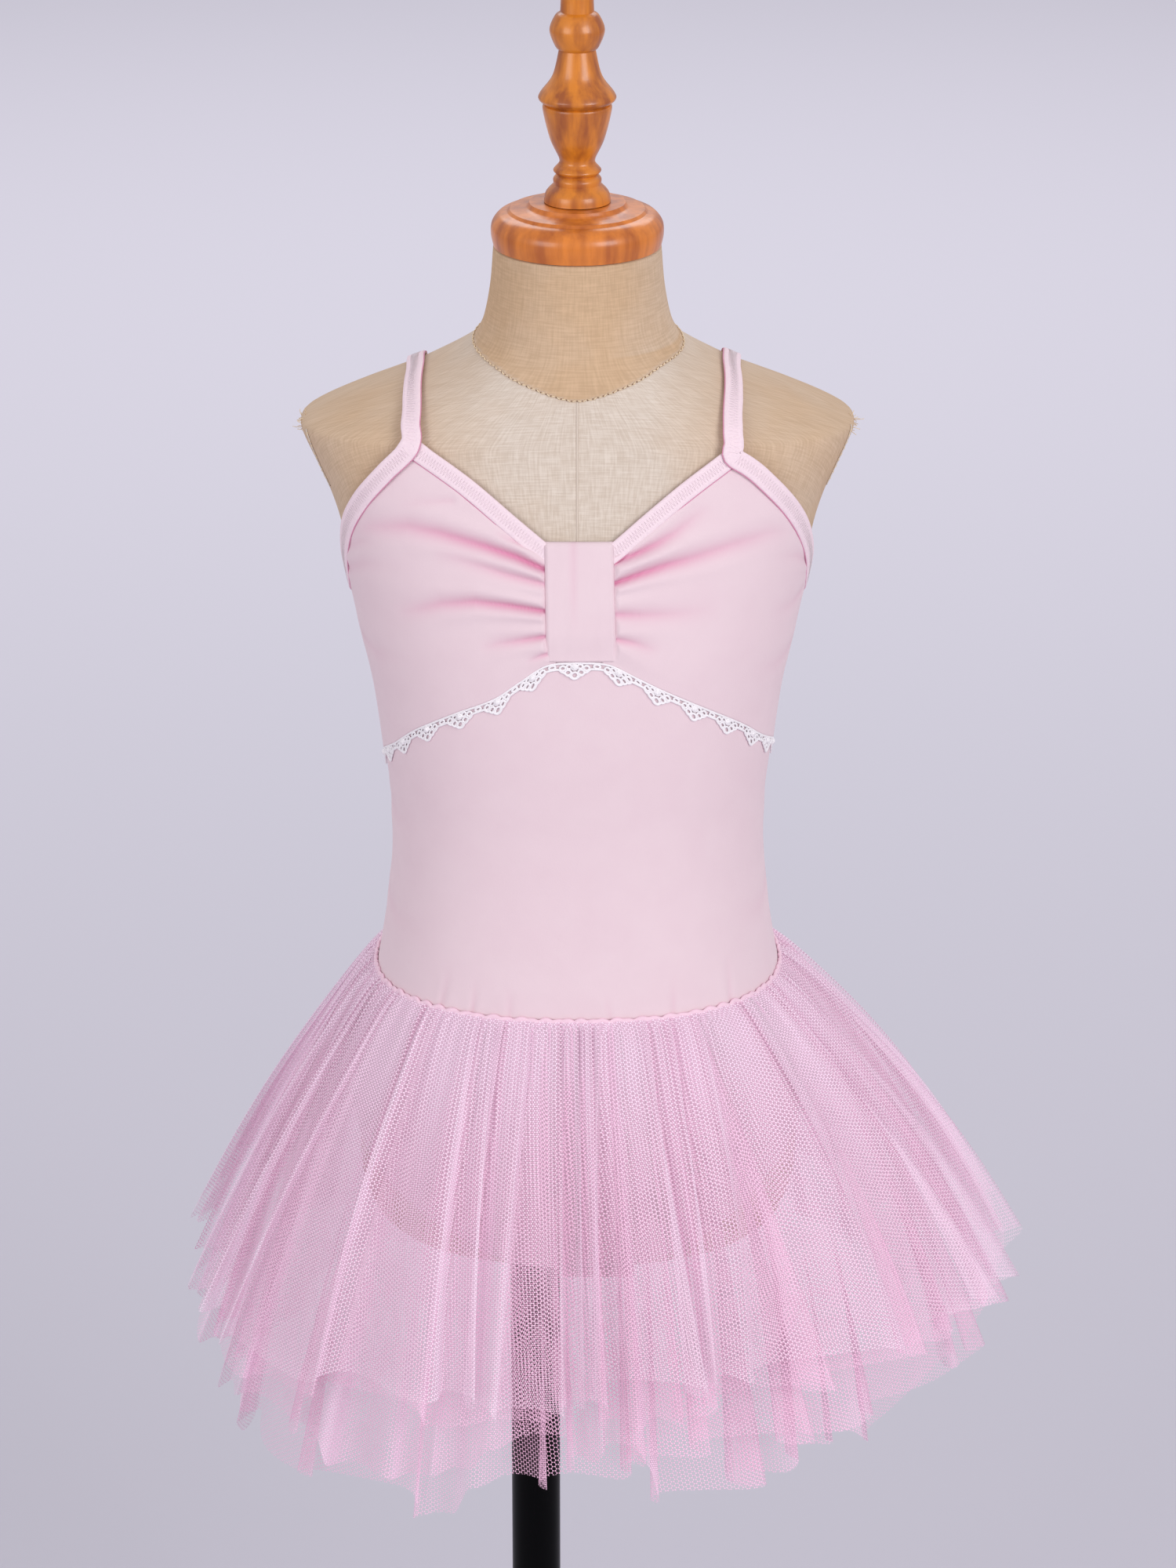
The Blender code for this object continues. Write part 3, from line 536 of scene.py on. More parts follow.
def outward(points):
    """Directions straight away from the skin."""
    return unit(skin_slope(points))


def skin_point(angle, z, lift):
    """Points at a height over the form's skin."""
    points = torso_point(angle, z)
    return points + outward(points) * np.asarray(lift)[..., None]


def to_skin(points):
    """Nearest points of the skin, found by sliding along the slope."""
    for _ in range(8):
        slope = skin_slope(points)
        square = np.sum(slope * slope, -1, keepdims=True)
        points = points - slope * (torso_level(points)[..., None] / square)
    return points


# Lines of points

def spline_weights(t):
    """Shares of four points in a row, for a smooth curve between the middle two."""
    return (
        -0.5 * t**3 + t**2 - 0.5 * t,
        1.5 * t**3 - 2.5 * t**2 + 1,
        -1.5 * t**3 + 2 * t**2 + 0.5 * t,
        0.5 * t**3 - 0.5 * t**2,
    )


def lengths_along(points):
    """Length along a line at each of its points, from 0."""
    return np.concatenate([[0], np.cumsum(np.linalg.norm(np.diff(points, axis=0), axis=1))])


def along_line(line, closed):
    """Directions along a line at each of its points."""
    return unit(np.roll(line, -1, 0) - np.roll(line, 1, 0) if closed else np.gradient(line, axis=0))


def full_turn(count):
    """Evenly spaced angles round a circle, in radians."""
    return np.linspace(0, 2 * math.pi, count, endpoint=False)


def read_line(places, lengths, points):
    """Points at places along a line, from its lengths and points."""
    return np.stack([np.interp(places, lengths, points[:, k]) for k in range(3)], -1)


# Making meshes

def finish_piece(mesh, name, material, nodes):
    """Object from a mesh that rides on the body, stands for the named nodes and takes a slot's finish."""
    mesh.materials.append(material)
    piece = bpy.data.objects.new(name, mesh)
    bpy.context.scene.collection.objects.link(piece)
    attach(piece, BODY)
    if nodes:
        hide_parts(*nodes)
    return piece


def grid_piece(name, grid, material, nodes=(), uv=None, wall=0.0, values=None):
    """Sheet over rows of points. A wall gives it thickness inward, and values are vertex attributes."""
    rows, columns = grid.shape[:2]
    index = np.arange(rows * columns).reshape(rows, columns)
    corners = [index[:-1, :-1], index[:-1, 1:], index[1:, 1:], index[1:, :-1]]
    faces = np.stack(corners, -1).reshape(-1, 4)
    mesh = bpy.data.meshes.new(name)
    mesh.from_pydata((grid.reshape(-1, 3) * MM).tolist(), [], faces.tolist())
    if uv is not None:
        layer = mesh.uv_layers.new(name="cloth")
        flat = uv.reshape(-1, 2)[faces.reshape(-1)]
        layer.data.foreach_set("uv", flat.astype(np.float32).ravel())
    for key, numbers in (values or {}).items():
        attribute = mesh.attributes.new(key, "FLOAT", "POINT")
        attribute.data.foreach_set("value", numbers.astype(np.float32).ravel())
    mesh.shade_smooth()
    piece = finish_piece(mesh, name, material, nodes)
    if wall:
        thick = piece.modifiers.new("wall", "SOLIDIFY")
        thick.thickness = wall * MM
        thick.offset = -1.0
    return piece


def tube_faces(count, sides, closed, start=0):
    """Faces of a tube of rings; an open tube gets its two ends filled."""
    index = start + np.arange(count * sides).reshape(count, sides)
    index = np.concatenate([index, index[:, :1]], 1)
    ends = [] if closed else [index[0, :-1].tolist(), index[-1, -2::-1].tolist()]
    if closed:
        index = np.concatenate([index, index[:1]], 0)
    corners = [index[:-1, :-1], index[1:, :-1], index[1:, 1:], index[:-1, 1:]]
    return np.stack(corners, -1).reshape(-1, 4).tolist() + ends


def tube_piece(name, tubes, material, nodes=(), closed=False, crisp=None):
    """Piece from one or more tubes, each an array of rings of points in mm."""
    faces, start = [], 0
    for rings in tubes:
        faces += tube_faces(len(rings), rings.shape[1], closed, start)
        start += rings.shape[0] * rings.shape[1]
    points = np.concatenate([rings.reshape(-1, 3) for rings in tubes])
    mesh = bpy.data.meshes.new(name)
    mesh.from_pydata((points * MM).tolist(), [], faces)
    mesh.shade_smooth()
    if crisp:
        mesh.set_sharp_from_angle(angle=math.radians(crisp))
    return finish_piece(mesh, name, material, nodes)


def cord_piece(name, paths, radius, material, nodes=(), sides=6, closed=False, flatten=1.0):
    """Round cords along paths, joined into one mesh. Each path is an array of points in mm."""
    tubes = []
    turns = full_turn(sides)
    for path in paths:
        ahead = along_line(path, closed)
        side = unit(np.cross(outward(path), ahead))
        up = np.cross(ahead, side)
        tubes.append(
            path[:, None]
            + side[:, None] * np.cos(turns)[None, :, None] * radius
            + up[:, None] * np.sin(turns)[None, :, None] * radius * flatten
        )
    return tube_piece(name, tubes, material, nodes, closed)


def turned_piece(name, profile, material, centre_x=0.0, sides=96, steps=6):
    """Piece turned about a vertical axis. Points with an edge of 1 stay crisp, and the rest are curved."""
    outline = []
    for i in range(len(profile) - 1):
        start, end = profile[i], profile[i + 1]
        before = profile[i - 1] if i and not start.edge else start
        after = profile[i + 2] if i + 2 < len(profile) and not end.edge else end
        for step in range(steps if i < len(profile) - 2 else steps + 1):
            t = step / steps
            four = list(zip(spline_weights(t), (before, start, end, after)))
            outline.append([sum(weight * point[k] for weight, point in four) for k in (0, 1)])
    outline = np.array(outline)
    turns = full_turn(sides)
    rings = np.zeros((len(outline), sides, 3))
    rings[..., 0] = outline[:, :1] * np.cos(turns) + centre_x
    rings[..., 1] = outline[:, :1] * -np.sin(turns)
    rings[..., 2] = outline[:, 1:]
    return tube_piece(name + "_turned", [rings], material, [name], crisp=40)


# Materials

def set_inputs(tree, node, inputs):
    """Fills a node's inputs. Each takes a value or another node's socket."""
    for key, value in inputs.items():
        if isinstance(value, bpy.types.NodeSocket):
            tree.links.new(value, node.inputs[key])
        else:
            node.inputs[key].default_value = value


def add_node(tree, kind, inputs=None, output=0, **settings):
    """Adds a node of a kind with its settings and inputs, and gives one of its output sockets."""
    node = tree.nodes.new(kind)
    for key, value in settings.items():
        setattr(node, key, value)
    set_inputs(tree, node, inputs or {})
    return node.outputs[output]


def new_material(name):
    material = bpy.data.materials.new(name)
    material.use_nodes = True
    return material, material.node_tree, material.node_tree.nodes["Principled BSDF"]


def rgba(colour):
    return (*colour, 1.0)


def cotton_jersey(name, colour, shade, fold):
    """Cotton jersey, knitted and brushed: soft and matt, with a faint mottle and a fine nap.

    The vertex attribute crease paints shade deep in the folds: it blends in the darker fold colour, which
    stands for how two faces of a fold light each other."""
    material, tree, shader = new_material(name)
    place = add_node(tree, "ShaderNodeTexCoord", output="Object")
    cloud = add_node(tree, "ShaderNodeTexNoise", {"Vector": place, "Scale": 60.0, "Detail": 4.0})
    mottle = add_node(tree, "ShaderNodeMapRange", {0: cloud, 1: 0.35, 2: 0.7, 3: 0.0, 4: 0.16})
    blend = {0: mottle, 6: rgba(colour), 7: rgba(shade)}
    base = add_node(tree, "ShaderNodeMix", blend, 2, data_type="RGBA")
    # Painted shade: the attribute crease blends the darker fold colour into the creases.
    crease = add_node(tree, "ShaderNodeAttribute", output="Fac", attribute_name="crease")
    blend = {0: crease, 6: base, 7: rgba(fold)}
    crease_shaded = add_node(tree, "ShaderNodeMix", blend, 2, data_type="RGBA")
    place = add_node(tree, "ShaderNodeTexCoord", output="Object")
    nap = add_node(tree, "ShaderNodeTexNoise", {"Vector": place, "Scale": 1400.0, "Detail": 2.0})
    shader_inputs = {
        "Base Color": crease_shaded,
        "Normal": add_node(tree, "ShaderNodeBump", {"Height": nap, "Strength": 0.12, "Distance": 0.0004}),
        "Roughness": 0.9,
        "Specular IOR Level": 0.25,
        "Sheen Weight": 0.12,
        "Sheen Roughness": 0.5,
    }
    set_inputs(tree, shader, shader_inputs)
    return material


def woven_elastic(name, colour, shade):
    """Fold-over binding of cotton and elastic: matt, with a fine fleck."""
    material, tree, shader = new_material(name)
    place = add_node(tree, "ShaderNodeTexCoord", output="Object")
    fleck = add_node(tree, "ShaderNodeTexNoise", {"Vector": place, "Scale": 900.0, "Detail": 3.0})
    share = add_node(tree, "ShaderNodeMapRange", {0: fleck, 1: 0.4, 2: 0.62, 3: 0.0, 4: 1.0})
    blend = {0: share, 6: rgba(colour), 7: rgba(shade)}
    shader_inputs = {
        "Base Color": add_node(tree, "ShaderNodeMix", blend, 2, data_type="RGBA"),
        "Normal": add_node(tree, "ShaderNodeBump", {"Height": fleck, "Strength": 0.3, "Distance": 0.0004}),
        "Roughness": 0.85,
        "Specular IOR Level": 0.3,
    }
    set_inputs(tree, shader, shader_inputs)
    return material


def plain_thread(name, colour):
    """Spun polyester sewing thread: smooth enough for a slight gloss. The same material also paints the dark
    cords of shade along the bindings' seams and in the linen's stitch holes.
    """
    material, tree, shader = new_material(name)
    place = add_node(tree, "ShaderNodeTexCoord", output="Object")
    twist = add_node(tree, "ShaderNodeTexNoise", {"Vector": place, "Scale": 2500.0, "Detail": 2.0})
    normal = add_node(tree, "ShaderNodeBump", {"Height": twist, "Strength": 0.2, "Distance": 0.0002})
    set_inputs(tree, shader, {"Base Color": rgba(colour), "Normal": normal, "Roughness": 0.6})
    return material


def soft_tulle(name, colour, fold, cell):
    """Nylon tulle, bobbin-knitted: a net of hexagonal cells of fine threads, open between them.

    The real cells are 1.4 mm wide and are drawn wider so that they show. Three sine waves at 60 degrees to
    one another add up to peaks in a triangular pattern, one a cell. The peaks are the holes. The vertex
    attribute gather half closes them and blends in the lighter fold colour where the net lies in folds or is
    seen edge-on: painted light for the light that the stacked net scatters there."""
    material, tree, shader = new_material(name)
    cloth = add_node(tree, "ShaderNodeUVMap", uv_map="cloth")
    wave_number = 2 * math.pi / (cell * MM * math.sqrt(3) / 2)
    waves = []
    for turn in (0, 60, 120):
        angle = math.radians(turn)
        direction = (wave_number * math.cos(angle), wave_number * math.sin(angle), 0.0)
        both = {0: cloth, 1: direction}
        along = add_node(tree, "ShaderNodeVectorMath", both, "Value", operation="DOT_PRODUCT")
        waves.append(add_node(tree, "ShaderNodeMath", {0: along, 1: 0.0}, operation="COSINE"))
    two_waves = add_node(tree, "ShaderNodeMath", {0: waves[0], 1: waves[1]}, operation="ADD")
    peaks = add_node(tree, "ShaderNodeMath", {0: two_waves, 1: waves[2]}, operation="ADD")
    limits = {1: NET_HOLE + 0.15, 2: NET_HOLE - 0.15, 3: 0.0, 4: 0.95}
    thread = add_node(tree, "ShaderNodeMapRange", {0: peaks, **limits})
    gather = add_node(tree, "ShaderNodeAttribute", output="Fac", attribute_name="gather")
    hole = add_node(tree, "ShaderNodeMath", {0: 1.0, 1: thread}, operation="SUBTRACT")
    closed = add_node(tree, "ShaderNodeMath", {0: hole, 1: gather}, operation="MULTIPLY")
    # Painted light: where the net is gathered, the lighter fold colour is blended in.
    share = add_node(tree, "ShaderNodeMapRange", {0: gather, 1: 0.02, 2: 0.3, 3: 0.0, 4: 1.0})
    blend = {0: share, 6: rgba(colour), 7: rgba(fold)}
    shader_inputs = {
        "Base Color": add_node(tree, "ShaderNodeMix", blend, 2, data_type="RGBA"),
        "Alpha": add_node(tree, "ShaderNodeMath", {0: closed, 1: thread}, operation="ADD"),
        "Roughness": 0.7,
        "Specular IOR Level": 0.3,
        "Sheen Weight": 0.65,
        "Sheen Roughness": 0.5,
        "Sheen Tint": rgba(colour),
    }
    set_inputs(tree, shader, shader_inputs)
    return material


def crochet_cotton(name, colour):
    """Mercerised cotton yarn, crocheted: twisted, matt white with a soft nap."""
    material, tree, shader = new_material(name)
    place = add_node(tree, "ShaderNodeTexCoord", output="Object")
    nap = add_node(tree, "ShaderNodeTexNoise", {"Vector": place, "Scale": 1800.0, "Detail": 2.0})
    normal = add_node(tree, "ShaderNodeBump", {"Height": nap, "Strength": 0.5, "Distance": 0.0003})
    set_inputs(tree, shader, {"Base Color": rgba(colour), "Normal": normal, "Roughness": 0.85})
    return material


def plain_linen(name, warm, pale, slub):
    """Unbleached linen, plain-woven: slubbed threads 0.5 mm apart, drawn 0.9 mm apart so they show.

    The UV map cloth runs along the threads, and the attribute warm marks the yellower neck and shoulders; it
    is lowered on the right of the neck as painted light."""
    material, tree, shader = new_material(name)
    cloth = add_node(tree, "ShaderNodeUVMap", uv_map="cloth")
    yarns = []
    for scale in ((1100.0, 90.0, 1.0), (90.0, 1100.0, 1.0)):
        along = add_node(tree, "ShaderNodeMapping", {"Vector": cloth, "Scale": scale})
        yarns.append(add_node(tree, "ShaderNodeTexNoise", {"Vector": along, "Scale": 1.0, "Detail": 2.0}))
    weave = add_node(tree, "ShaderNodeMath", {0: yarns[0], 1: yarns[1]}, operation="ADD")
    thread = add_node(tree, "ShaderNodeMapRange", {0: weave, 1: 0.8, 2: 1.25, 3: 0.3, 4: 0.0})
    place = add_node(tree, "ShaderNodeTexCoord", output="Object")
    noise = add_node(tree, "ShaderNodeTexNoise", {"Vector": place, "Scale": 26.0, "Detail": 3.0})
    cloud = add_node(tree, "ShaderNodeMapRange", {0: noise, 1: 0.35, 2: 0.7, 3: -0.12, 4: 0.12})
    warmth_and_painted_light = add_node(tree, "ShaderNodeAttribute", output="Fac", attribute_name="warm")
    warmth = add_node(tree, "ShaderNodeMath", {0: warmth_and_painted_light, 1: cloud}, operation="ADD", use_clamp=True)
    blend = {0: warmth, 6: rgba(pale), 7: rgba(warm)}
    ground = add_node(tree, "ShaderNodeMix", blend, 2, data_type="RGBA")
    blend = {0: thread, 6: ground, 7: rgba(slub)}
    shader_inputs = {
        "Base Color": add_node(tree, "ShaderNodeMix", blend, 2, data_type="RGBA"),
        "Normal": add_node(tree, "ShaderNodeBump", {"Height": weave, "Strength": 0.3, "Distance": 0.0004}),
        "Roughness": 0.95,
        "Specular IOR Level": 0.2,
    }
    set_inputs(tree, shader, shader_inputs)
    return material


def lacquered_wood(name, light, dark, grain_scale):
    """Turned hardwood under clear satin lacquer: grain bands along the axis and a soft coat of gloss."""
    material, tree, shader = new_material(name)
    place = add_node(tree, "ShaderNodeTexCoord", output="Object")
    scale = (grain_scale, grain_scale, grain_scale * 0.12)
    stretched = add_node(tree, "ShaderNodeMapping", {"Vector": place, "Scale": scale})
    grain = add_node(tree, "ShaderNodeTexNoise", {"Vector": stretched, "Scale": 1.0, "Detail": 5.0})
    share = add_node(tree, "ShaderNodeMapRange", {0: grain, 1: 0.38, 2: 0.66, 3: 0.0, 4: 1.0})
    blend = {0: share, 6: rgba(light), 7: rgba(dark)}
    shader_inputs = {
        "Base Color": add_node(tree, "ShaderNodeMix", blend, 2, data_type="RGBA"),
        "Roughness": 0.38,
        "Coat Weight": 0.38,
        "Coat Roughness": 0.18,
    }
    set_inputs(tree, shader, shader_inputs)
    return material


def black_enamel(name, colour):
    """Steel tube under gloss black enamel: deep and smooth, with a trace of orange peel."""
    material, tree, shader = new_material(name)
    place = add_node(tree, "ShaderNodeTexCoord", output="Object")
    peel = add_node(tree, "ShaderNodeTexNoise", {"Vector": place, "Scale": 350.0, "Detail": 2.0})
    shader_inputs = {
        "Base Color": rgba(colour),
        "Normal": add_node(tree, "ShaderNodeBump", {"Height": peel, "Strength": 0.04, "Distance": 0.0003}),
        "Roughness": 0.3,
        "Specular IOR Level": 0.07,
    }
    set_inputs(tree, shader, shader_inputs)
    return material


def matt_paper(name, colour):
    """Studio background paper: matt and even."""
    material, tree, shader = new_material(name)
    shader_inputs = {"Base Color": rgba(colour), "Roughness": 1.0, "Specular IOR Level": 0.0}
    set_inputs(tree, shader, shader_inputs)
    return material


# Settings that a user would change

def colour_property(name, description, hex_colour):
    """Setting for a colour, with its default as sRGB hex."""
    return bpy.props.FloatVectorProperty(
        name=name, description=description, default=linear(hex_colour), subtype="COLOR", min=0.0, max=1.0
    )


def power_property(name, description, watts):
    return bpy.props.FloatProperty(name=name, description=description, default=watts, min=0.0, unit="POWER")


class ClothSettings(bpy.types.PropertyGroup):
    """Colours of the dress."""

    jersey: colour_property("Jersey", "Colour of the bodice", "E8D1D7")
    jersey_shade: colour_property("Jersey mottle", "Darker mottle of the bodice", "DEC0CA")
    # Painted shade: the darker colour blended into the jersey's creases, also used for the dark cords along
    # the bindings' seams.
    painted_jersey_shade: colour_property("Jersey fold", "Colour deep in the folds of the bodice", "D98FAE")
    binding: colour_property("Binding", "Colour of straps and bindings", "F3DDE4")
    binding_fleck: colour_property("Binding fleck", "Fleck of straps and bindings", "EFD8E1")
    tulle: colour_property("Tulle", "Colour of the net's threads", "FADAEC")
    # Painted light: the lighter colour of the net in its folds and where it is seen edge-on.
    tulle_fold_light: colour_property("Tulle fold", "Colour of the net where it lies in dense folds", "FFE8F8")
    # Painted shade: the inner layers are the same net as the outer one, painted a deeper pink for the light
    # that reaches them through the layers over them; their folds are painted lighter, as the outer layer's
    # are.
    tulle_inner_shade: colour_property("Inner tulle", "Colour of the threads of the inner layers", "F9CAE3")
    tulle_inner_shade_fold_light: colour_property("Inner tulle fold", "Colour of the inner layers' dense folds", "FFD6EE")
    seam_roll: colour_property("Skirt seam", "Colour of the gathered edge at the skirt seam", "F0CCDC")
    lace: colour_property("Lace", "Colour of the lace", "F6F1F4")
    net_cell: bpy.props.FloatProperty(
        name="Net cell", description="Width of one cell of the net, in millimetres", default=NET_CELL, min=0.5
    )


class StandSettings(bpy.types.PropertyGroup):
    """Colours of the dress form and its stand."""

    linen: colour_property("Linen", "Colour of the neck and shoulders", "D1B190")
    linen_pale: colour_property("Pale linen", "Colour of the chest", "DDD0C3")
    linen_slub: colour_property("Slub", "Darker threads of the linen", "9C7F60")
    finial: colour_property("Finial", "Light grain of the finial", "D8801E")
    finial_grain: colour_property("Finial grain", "Dark grain of the finial", "A0521A")
    cap: colour_property("Cap", "Light grain of the neck cap", "DE802A")
    cap_grain: colour_property("Cap grain", "Dark grain of the neck cap", "B05A1A")
    enamel: colour_property("Enamel", "Colour of the pole and base", "040405")


class StudioSettings(bpy.types.PropertyGroup):
    """The studio round the dress."""

    paper: colour_property("Background", "Colour of the floor", "C0BDC7")
    key_power: power_property("Key light", "Power of the large right light", 72.0)
    fill_power: power_property("Fill light", "Power of the large left light", 42.0)
    far_power: power_property("Far light", "Power of the light over the far floor", 115.0)


# Pieces

def body_uv(grid):
    """Flat lengths along a grid's rows and columns, in metres, for patterns that follow the cloth."""
    steps = np.linalg.norm(np.diff(grid, axis=1), axis=2).mean(0)
    drops = np.linalg.norm(np.diff(grid, axis=0), axis=2).mean(1)
    across = np.concatenate([[0], np.cumsum(steps)])
    down = np.concatenate([[0], np.cumsum(drops)])
    u, v = np.meshgrid(across, down)
    return np.stack([u, v], -1) * MM


def crease_relief(points, creases):
    """Height that the creases add at points near the skin, and how deep in a crease each point is, which sets
    the painted crease shade.
    """
    relief, deep = np.zeros(points.shape[:-1]), np.zeros(points.shape[:-1])
    for row in creases:
        stops = torso_point(
            np.array([p.angle for p in row.route]), np.array([p.z for p in row.route], float)
        )
        count = 12 * (len(stops) - 1)
        places = np.linspace(0, len(stops) - 1, count + 1)
        line = read_line(places, np.arange(len(stops)), stops)
        apart = np.linalg.norm(points[..., None, :] - line, axis=-1)
        gap = apart.min(-1)
        share = apart.argmin(-1) / count
        width = row.width * (1 + (row.widen - 1) * share)
        fade = (1 - share**1.5) * (1 - 0.4 * share)
        trough = np.exp(-((gap / width) ** 1.5)) * fade
        ridge = np.exp(-(((gap - 2.4 * width) / (1.3 * width)) ** 2)) * fade
        relief += row.ridge * ridge - row.depth * trough
        deep = np.maximum(deep, np.clip(row.depth * trough / 2.4, 0, 1))
    return relief, deep


def ease(share):
    """Smooth rise from 0 to 1."""
    share = np.clip(share, 0, 1)
    return share * share * (3 - 2 * share)


def jersey_panel(name, node, angles, low, high, rows, lift, material, creases=(), puff=None):
    """Panel of jersey over the form between two seam lines.

    A puff gives, from the angle, z and the distances to both edges, the height that it adds, how much of
    the creases stays, and the most height that the cloth may have."""
    share = np.linspace(0, 1, rows)[:, None]
    bottom, top = low(wrap(angles)), high(wrap(angles))
    z = bottom[None] + (top - bottom)[None] * share
    angle = np.broadcast_to(angles, z.shape)
    points = torso_point(angle, z)
    relief, deep = crease_relief(points, creases)
    height = lift + JERSEY_WALL + relief
    if puff:
        raised, keep, cap = puff(angle, z, z - bottom, top - z)
        height = np.minimum(lift + JERSEY_WALL + relief * keep + raised, cap)
    grid = points + outward(points) * np.maximum(height, 0.95)[..., None]
    # The attribute crease carries how much painted shade each point of a crease gets.
    return grid_piece(name, grid, material, [node], body_uv(grid), PANEL_WALL, {"crease": deep})


def level_line(z):
    """Seam line at one height all the way round."""
    return lambda angle: np.full(np.shape(angle), float(z))


def band_sides(z):
    """Angles of the centre band's left and right edges."""
    return np.interp(z, [810, 868], [-7.9, -7.5]), np.interp(z, [810, 818, 844, 866], [10.1, 9.8, 8.9, 8.3])


def bust_low(angle):
    return EMPIRE(angle) + 0.1


def midriff_high(angle):
    return EMPIRE(angle) + 2.0


def bust_puff(angle, z, from_bottom, from_top):
    """The gathers stand up beside the band, and the panel lies down under its bindings."""
    left_side, right_side = band_sides(z)
    from_band = np.maximum(left_side - angle, angle - right_side) * CHEST_DEGREE
    edge = ease(from_top / 8.0)
    gathered = GATHER_HEIGHT * np.exp(-np.clip(from_band, 0, None) / GATHER_REACH)
    raised = PUFF_LIFT + gathered * edge * ease(from_bottom / 9.0)
    cap = 2.9 + 1.3 * np.clip(from_band, 0, None)
    return raised * (0.15 + 0.85 * edge), ease((from_top + 2.0) / 6.0), cap


def centre_band(jersey):
    """Upright band over the gathers, with rolled sides, one long soft fold and faint waves."""
    z = np.linspace(float(EMPIRE(np.array(0.0))) + 0.1, BAND_TOP, BAND_POINTS)[:, None]
    left_side, right_side = band_sides(z)
    across = np.linspace(0, 1, BAND_POINTS)[None]
    angle = left_side + (right_side - left_side) * across
    rolled = 1 - ease(np.minimum(across, 1 - across) / 0.045)
    turned = 1 - ease((BAND_TOP - z) / 2.2)
    fold = -BAND_FOLD * np.exp(-(((angle + 0.9) / 0.9) ** 2)) * ease((z - 822) / 30)
    waves = 0.07 * np.sin(17 * across + 0.03 * (z - 810)) + 0.04 * np.sin(31 * across - 0.05 * z)
    lift = SKIN_LIFT + BAND_LIFT + fold + waves - BAND_SIDE_ROLL * rolled - BAND_END_TURN * turned
    lift = lift - BAND_END_TURN * (1 - ease((z - z[0]) / 14.0))
    grid = skin_point(angle, np.broadcast_to(z, angle.shape), lift)
    # Painted shade along the band's long fold.
    values = {"crease": np.clip(-fold, 0, 1) * 0.5}
    return grid_piece(
        "centre_band_cloth", grid, jersey, ["centre_band"], body_uv(grid), 1.3, values
    )


def gusset(jersey):
    """Strip under the form that joins the brief's front and back."""
    y = np.array([stop.y for stop in GUSSET_ROUTE])
    height = np.array([stop.z for stop in GUSSET_ROUTE])
    places = np.linspace(0, len(y) - 1, GUSSET_ROWS)
    grid = np.zeros((GUSSET_ROWS, GUSSET_COLUMNS, 3))
    grid[..., 0] = np.linspace(GUSSET_RIGHT, GUSSET_LEFT, GUSSET_COLUMNS)
    grid[..., 1] = np.interp(places, np.arange(len(y)), y)[:, None]
    grid[..., 2] = np.interp(places, np.arange(len(y)), height)[:, None] - PANEL_WALL
    return grid_piece(
        "gusset_cloth", grid, jersey, ["brief_gusset"], body_uv(grid), PANEL_WALL
    )


class DRESS_OT_bodice(bpy.types.Operator):
    """Makes the jersey panels: bust, centre band, midriff, back, brief and gusset"""

    bl_idname = "dress.bodice"
    bl_label = "Jersey panels"

    def execute(self, context):
        colours = context.scene.dress_cloth
        jersey = cotton_jersey("cotton_jersey", colours.jersey, colours.jersey_shade, colours.painted_jersey_shade)
        left = np.linspace(-SIDE_SEAM, -5.5, BUST_COLUMNS)
        right = np.linspace(6.4, SIDE_SEAM, BUST_COLUMNS)
        bust_left = jersey_panel(
            "bust_left_cloth", "bust_left", left, bust_low, BUST_EDGE, BUST_ROWS, SKIN_LIFT, jersey,
            BUST_CREASES_LEFT, bust_puff,
        )
        bust_right = jersey_panel(
            "bust_right_cloth", "bust_right", right, bust_low, BUST_EDGE, BUST_ROWS, SKIN_LIFT, jersey,
            BUST_CREASES_RIGHT, bust_puff,
        )
        band = centre_band(jersey)

        front = np.linspace(-SIDE_SEAM, SIDE_SEAM, MIDRIFF_COLUMNS)
        behind = np.linspace(-180 - SIDE_SEAM, SIDE_SEAM - 180, BACK_COLUMNS)
        midriff = jersey_panel(
            "midriff_cloth", "midriff_front", front, level_line(SKIRT_SEAM_Z), midriff_high, MIDRIFF_ROWS,
            SKIN_LIFT, jersey, MIDRIFF_CREASES,
        )
        back = jersey_panel(
            "back_cloth", "back_panel", behind, level_line(SKIRT_SEAM_Z), BACK_EDGE, BACK_ROWS, SKIN_LIFT,
            jersey, BACK_CREASES,
        )

        brief_front = jersey_panel(
            "brief_front_cloth", "brief_front", front[::2], LEG_FRONT_EDGE, level_line(BRIEF_TOP_Z),
            BRIEF_ROWS, BRIEF_LIFT, jersey,
        )
        brief_back = jersey_panel(
            "brief_back_cloth", "brief_back", behind[::2], LEG_BACK_EDGE, level_line(BRIEF_TOP_Z),
            BRIEF_ROWS, BRIEF_LIFT, jersey,
        )
        gusset(jersey)
        return {"FINISHED"}


def route_line(route, closed, spacing=1.2):
    """Points of the skin on a smooth curve through a route, evenly spaced, each with its lift."""
    stops = torso_point(np.array([p.angle for p in route]), np.array([p.z for p in route], float))
    lifts = np.array([p.lift for p in route])
    count = len(stops)
    points, heights = [], []
    for i in range(count if closed else count - 1):
        if closed:
            ids = [(i + k - 1) % count for k in range(4)]
        else:
            ids = [min(max(i + k - 1, 0), count - 1) for k in range(4)]
        for t in np.arange(20) / 20:
            points.append(sum(stops[j] * w for j, w in zip(ids, spline_weights(t))))
            heights.append(lifts[ids[1]] * (1 - t) + lifts[ids[2]] * t)
    points.append(points[0] if closed else stops[-1])
    heights.append(heights[0] if closed else lifts[-1])
    points = to_skin(np.array(points))
    length = lengths_along(points)
    steps = max(4, int(round(length[-1] / spacing)))
    even = np.linspace(0, length[-1], steps + 1)
    if closed:
        even = even[:-1]
    return to_skin(read_line(even, length, points)), np.interp(even, length, heights), even


def strip_frame(line, closed):
    """Directions along a line on the skin and across it."""
    ahead = along_line(line, closed)
    return ahead, unit(np.cross(skin_slope(line), ahead))


